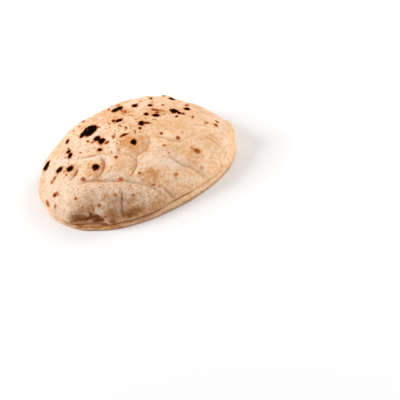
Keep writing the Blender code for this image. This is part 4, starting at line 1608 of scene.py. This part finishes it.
@dataclass
class Flatbread:
    """The whole bread as one closed skin, fine enough for its folds and blisters."""

    camera: PhotoCamera
    form: BreadForm = BreadForm()
    finish: CrustFinish = CrustFinish()
    segments: int = 600
    crust_rings: int = 190
    lip_rings: int = 14
    sole_rings: int = 34
    most_triangles: int = 195_000
    margin: float = 0.04 * MM

    @property
    def rings(self) -> int:
        """How many rings the skin has from the crown to the middle of the sole."""
        return self.crust_rings + self.lip_rings + self.sole_rings

    def start(self) -> bpy.types.Object:
        """Adds the ball that the skin starts from, with the CAD nodes left out of the selection.

        Returns:
            The ball.
        """
        bpy.ops.object.select_all(action="DESELECT")
        bpy.ops.mesh.primitive_uv_sphere_add(
            segments=self.segments, ring_count=self.rings, radius=1.0, calc_uvs=False
        )
        bread = bpy.context.object
        bread.name = bread.data.name = "flatbread_crust"
        return bread

    def section_of(self, points: np.ndarray) -> tuple[np.ndarray, np.ndarray, np.ndarray]:
        """Where on the bread's section each point of the ball belongs.

        Args:
            points: The ball's points.

        Returns:
            Reach and height of each, its heading, and how far along the crust from the crown it lies.
        """
        ring = np.arctan2(np.hypot(points[:, 0], points[:, 1]), points[:, 2]) / math.pi * self.rings
        dome, rim = self.form.dome, self.form.rim
        turns, lengths = dome.lengths()
        travelled = np.minimum(ring / self.crust_rings, 1) * lengths[-1]
        reach, rise = dome.point(np.interp(travelled, lengths, turns))
        lower = rim.lower_section(dome.half_width, self.lip_rings, self.sole_rings)
        steps = np.arange(len(lower)) + self.crust_rings + 1
        below = ring > self.crust_rings + 0.5
        reach = np.where(below, np.interp(ring, steps, lower[:, 0]), reach)
        height = np.where(below, np.interp(ring, steps, lower[:, 1]), rise + rim.seam_height)
        travelled = np.where(below, lengths[-1] + 1, travelled)
        return np.column_stack([reach, height]), np.arctan2(points[:, 1], points[:, 0]), travelled

    @staticmethod
    def read(rows: bpy.types.bpy_prop_collection, name: str) -> np.ndarray:
        """Reads a mesh's points or normals.

        Args:
            rows: The mesh's vertices or vertex normals.
            name: What is read of each.

        Returns:
            One row each.
        """
        flat = np.empty(len(rows) * 3, dtype=np.float32)
        rows.foreach_get(name, flat)
        return flat.reshape(-1, 3).astype(float)

    @staticmethod
    def write_points(mesh: bpy.types.Mesh, points: np.ndarray) -> None:
        """Moves the mesh's points."""
        mesh.vertices.foreach_set("co", points.astype(np.float32).ravel())
        mesh.update()

    def kept_inside(self, points: np.ndarray) -> np.ndarray:
        """Draws the skin in where it would stand out of the solid's own box.

        Args:
            points: The skin's points.

        Returns:
            The points, inside the box.
        """
        low, high = (np.array(corner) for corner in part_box("flatbread"))
        room = (high - self.margin) / points.max(axis=0)
        room[:2] = np.minimum(room[:2], (low[:2] + self.margin) / points[:, :2].min(axis=0))
        inside = points * np.minimum(room, 1)
        inside[:, 2] = np.maximum(inside[:, 2], self.margin / 4)
        return inside

    def model(self, bread: bpy.types.Object) -> None:
        """Shapes the skin, and paints on it what its finish reads.

        Args:
            bread: The ball that it starts from.
        """
        mesh = bread.data
        section, heading, travelled = self.section_of(self.read(mesh.vertices, "co"))
        points, values = self.form.shape(section, heading, travelled)
        points[:, :2] -= (points[:, :2].min(axis=0) + points[:, :2].max(axis=0)) / 2
        points = self.kept_inside(points)
        self.write_points(mesh, points)

        tree = BVHTree.FromPolygons(points.tolist(), [face.vertices[:] for face in mesh.polygons])
        normals = self.read(mesh.vertex_normals, "vector")
        values |= OvenMarksAndShade(self.camera, tree).paint(points, normals, travelled)
        blisters = normals * values.pop("blister")[:, None]
        self.write_points(mesh, self.kept_inside(points + blisters))
        for name, numbers in values.items():
            layer = mesh.attributes.new(name, "FLOAT", "POINT")
            layer.data.foreach_set("value", numbers.astype(np.float32))

    def build(self) -> bpy.types.Object:
        """Makes the bread, shaped, painted and dressed.

        Returns:
            The bread.
        """
        bread = self.start()
        self.model(bread)
        thinning = bread.modifiers.new("facets", "DECIMATE")
        thinning.ratio = self.most_triangles / sum(len(face.vertices) - 2 for face in bread.data.polygons)
        bpy.context.view_layer.objects.active = bread
        bpy.ops.object.modifier_apply(modifier=thinning.name)
        bread.select_set(True)
        bpy.ops.object.shade_smooth()
        bread.data.materials.append(self.finish.build())
        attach(bread, "root")
        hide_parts("flatbread")
        return bread


@dataclass(frozen=True)
class Softbox:
    """A square soft light that shines at the bread, with angles in degrees, and its power in watts."""

    name: str
    azimuth: float
    climb: float
    power: float
    size: float = 0.9
    distance: float = 1.4

    def build(self) -> None:
        """Adds the light."""
        data = bpy.data.lights.new(self.name, "AREA")
        data.energy, data.size = self.power, self.size
        lamp = bpy.data.objects.new(self.name, data)
        bpy.context.scene.collection.objects.link(lamp)
        turn, climb = math.radians(self.azimuth), math.radians(self.climb)
        level = math.cos(climb)
        direction = Vector((math.cos(turn) * level, math.sin(turn) * level, math.sin(climb)))
        lamp.location = direction * self.distance
        lamp.rotation_euler = direction.to_track_quat("Z", "Y").to_euler()


@dataclass(frozen=True)
class Studio:
    """A plain pale floor, soft lights all round, strongest from the left, and a white surround."""

    softboxes: tuple[Softbox, ...] = (
        Softbox("key", 162, 34, 17.5),
        Softbox("side", 4, 33, 9.0),
        Softbox("front", 315, 38, 5.6),
        Softbox("back", 90, 30, 2.4),
    )
    white: Colour = (1.0, 1.0, 1.0, 1.0)
    surround: float = 0.24
    floor_tone: Colour = (0.95, 0.95, 0.95, 1.0)
    floor_roughness: float = 0.9
    floor_size: float = 12
    floor_drop: float = 0.2 * MM

    def build_floor(self) -> bpy.types.Object:
        """Adds the floor, just under the sole.

        Returns:
            The floor.
        """
        bpy.ops.object.select_all(action="DESELECT")
        bpy.ops.mesh.primitive_plane_add(size=self.floor_size, location=(0, 0, -self.floor_drop))
        floor = bpy.context.object
        floor.name = "floor"
        bpy.ops.object.transform_apply(location=True)
        paint = bpy.data.materials.new("floor_paint")
        paint.use_nodes = True
        shader = paint.node_tree.nodes["Principled BSDF"]
        shader.inputs["Base Color"].default_value = self.floor_tone
        shader.inputs["Roughness"].default_value = self.floor_roughness
        floor.data.materials.append(paint)
        floor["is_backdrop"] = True
        return floor

    def build(self) -> bpy.types.Object:
        """Makes the whole studio.

        Returns:
            The floor.
        """
        floor = self.build_floor()
        for softbox in self.softboxes:
            softbox.build()
        scene = bpy.context.scene
        scene.world = bpy.data.worlds.new("surround")
        scene.world.use_nodes = True
        backdrop = scene.world.node_tree.nodes["Background"]
        backdrop.inputs["Color"].default_value = self.white
        backdrop.inputs["Strength"].default_value = self.surround
        scene.view_settings.view_transform = "Standard"
        scene.view_settings.look = "None"
        return floor


def main() -> None:
    """Builds the scene in order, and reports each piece."""
    logging.basicConfig(level=logging.INFO, format="%(name)s: %(message)s")
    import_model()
    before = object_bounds()
    camera = PhotoCamera()
    camera.build()
    for piece in (Flatbread(camera).build(), Studio().build()):
        LOG.info("%s: %d points, %d faces", piece.name, len(piece.data.vertices), len(piece.data.polygons))
    sizes = {"cad": before, "visual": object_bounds()}
    {name: [list(corner) for corner in box] for name, box in sizes.items()}


if __name__ == "__main__":
    main()
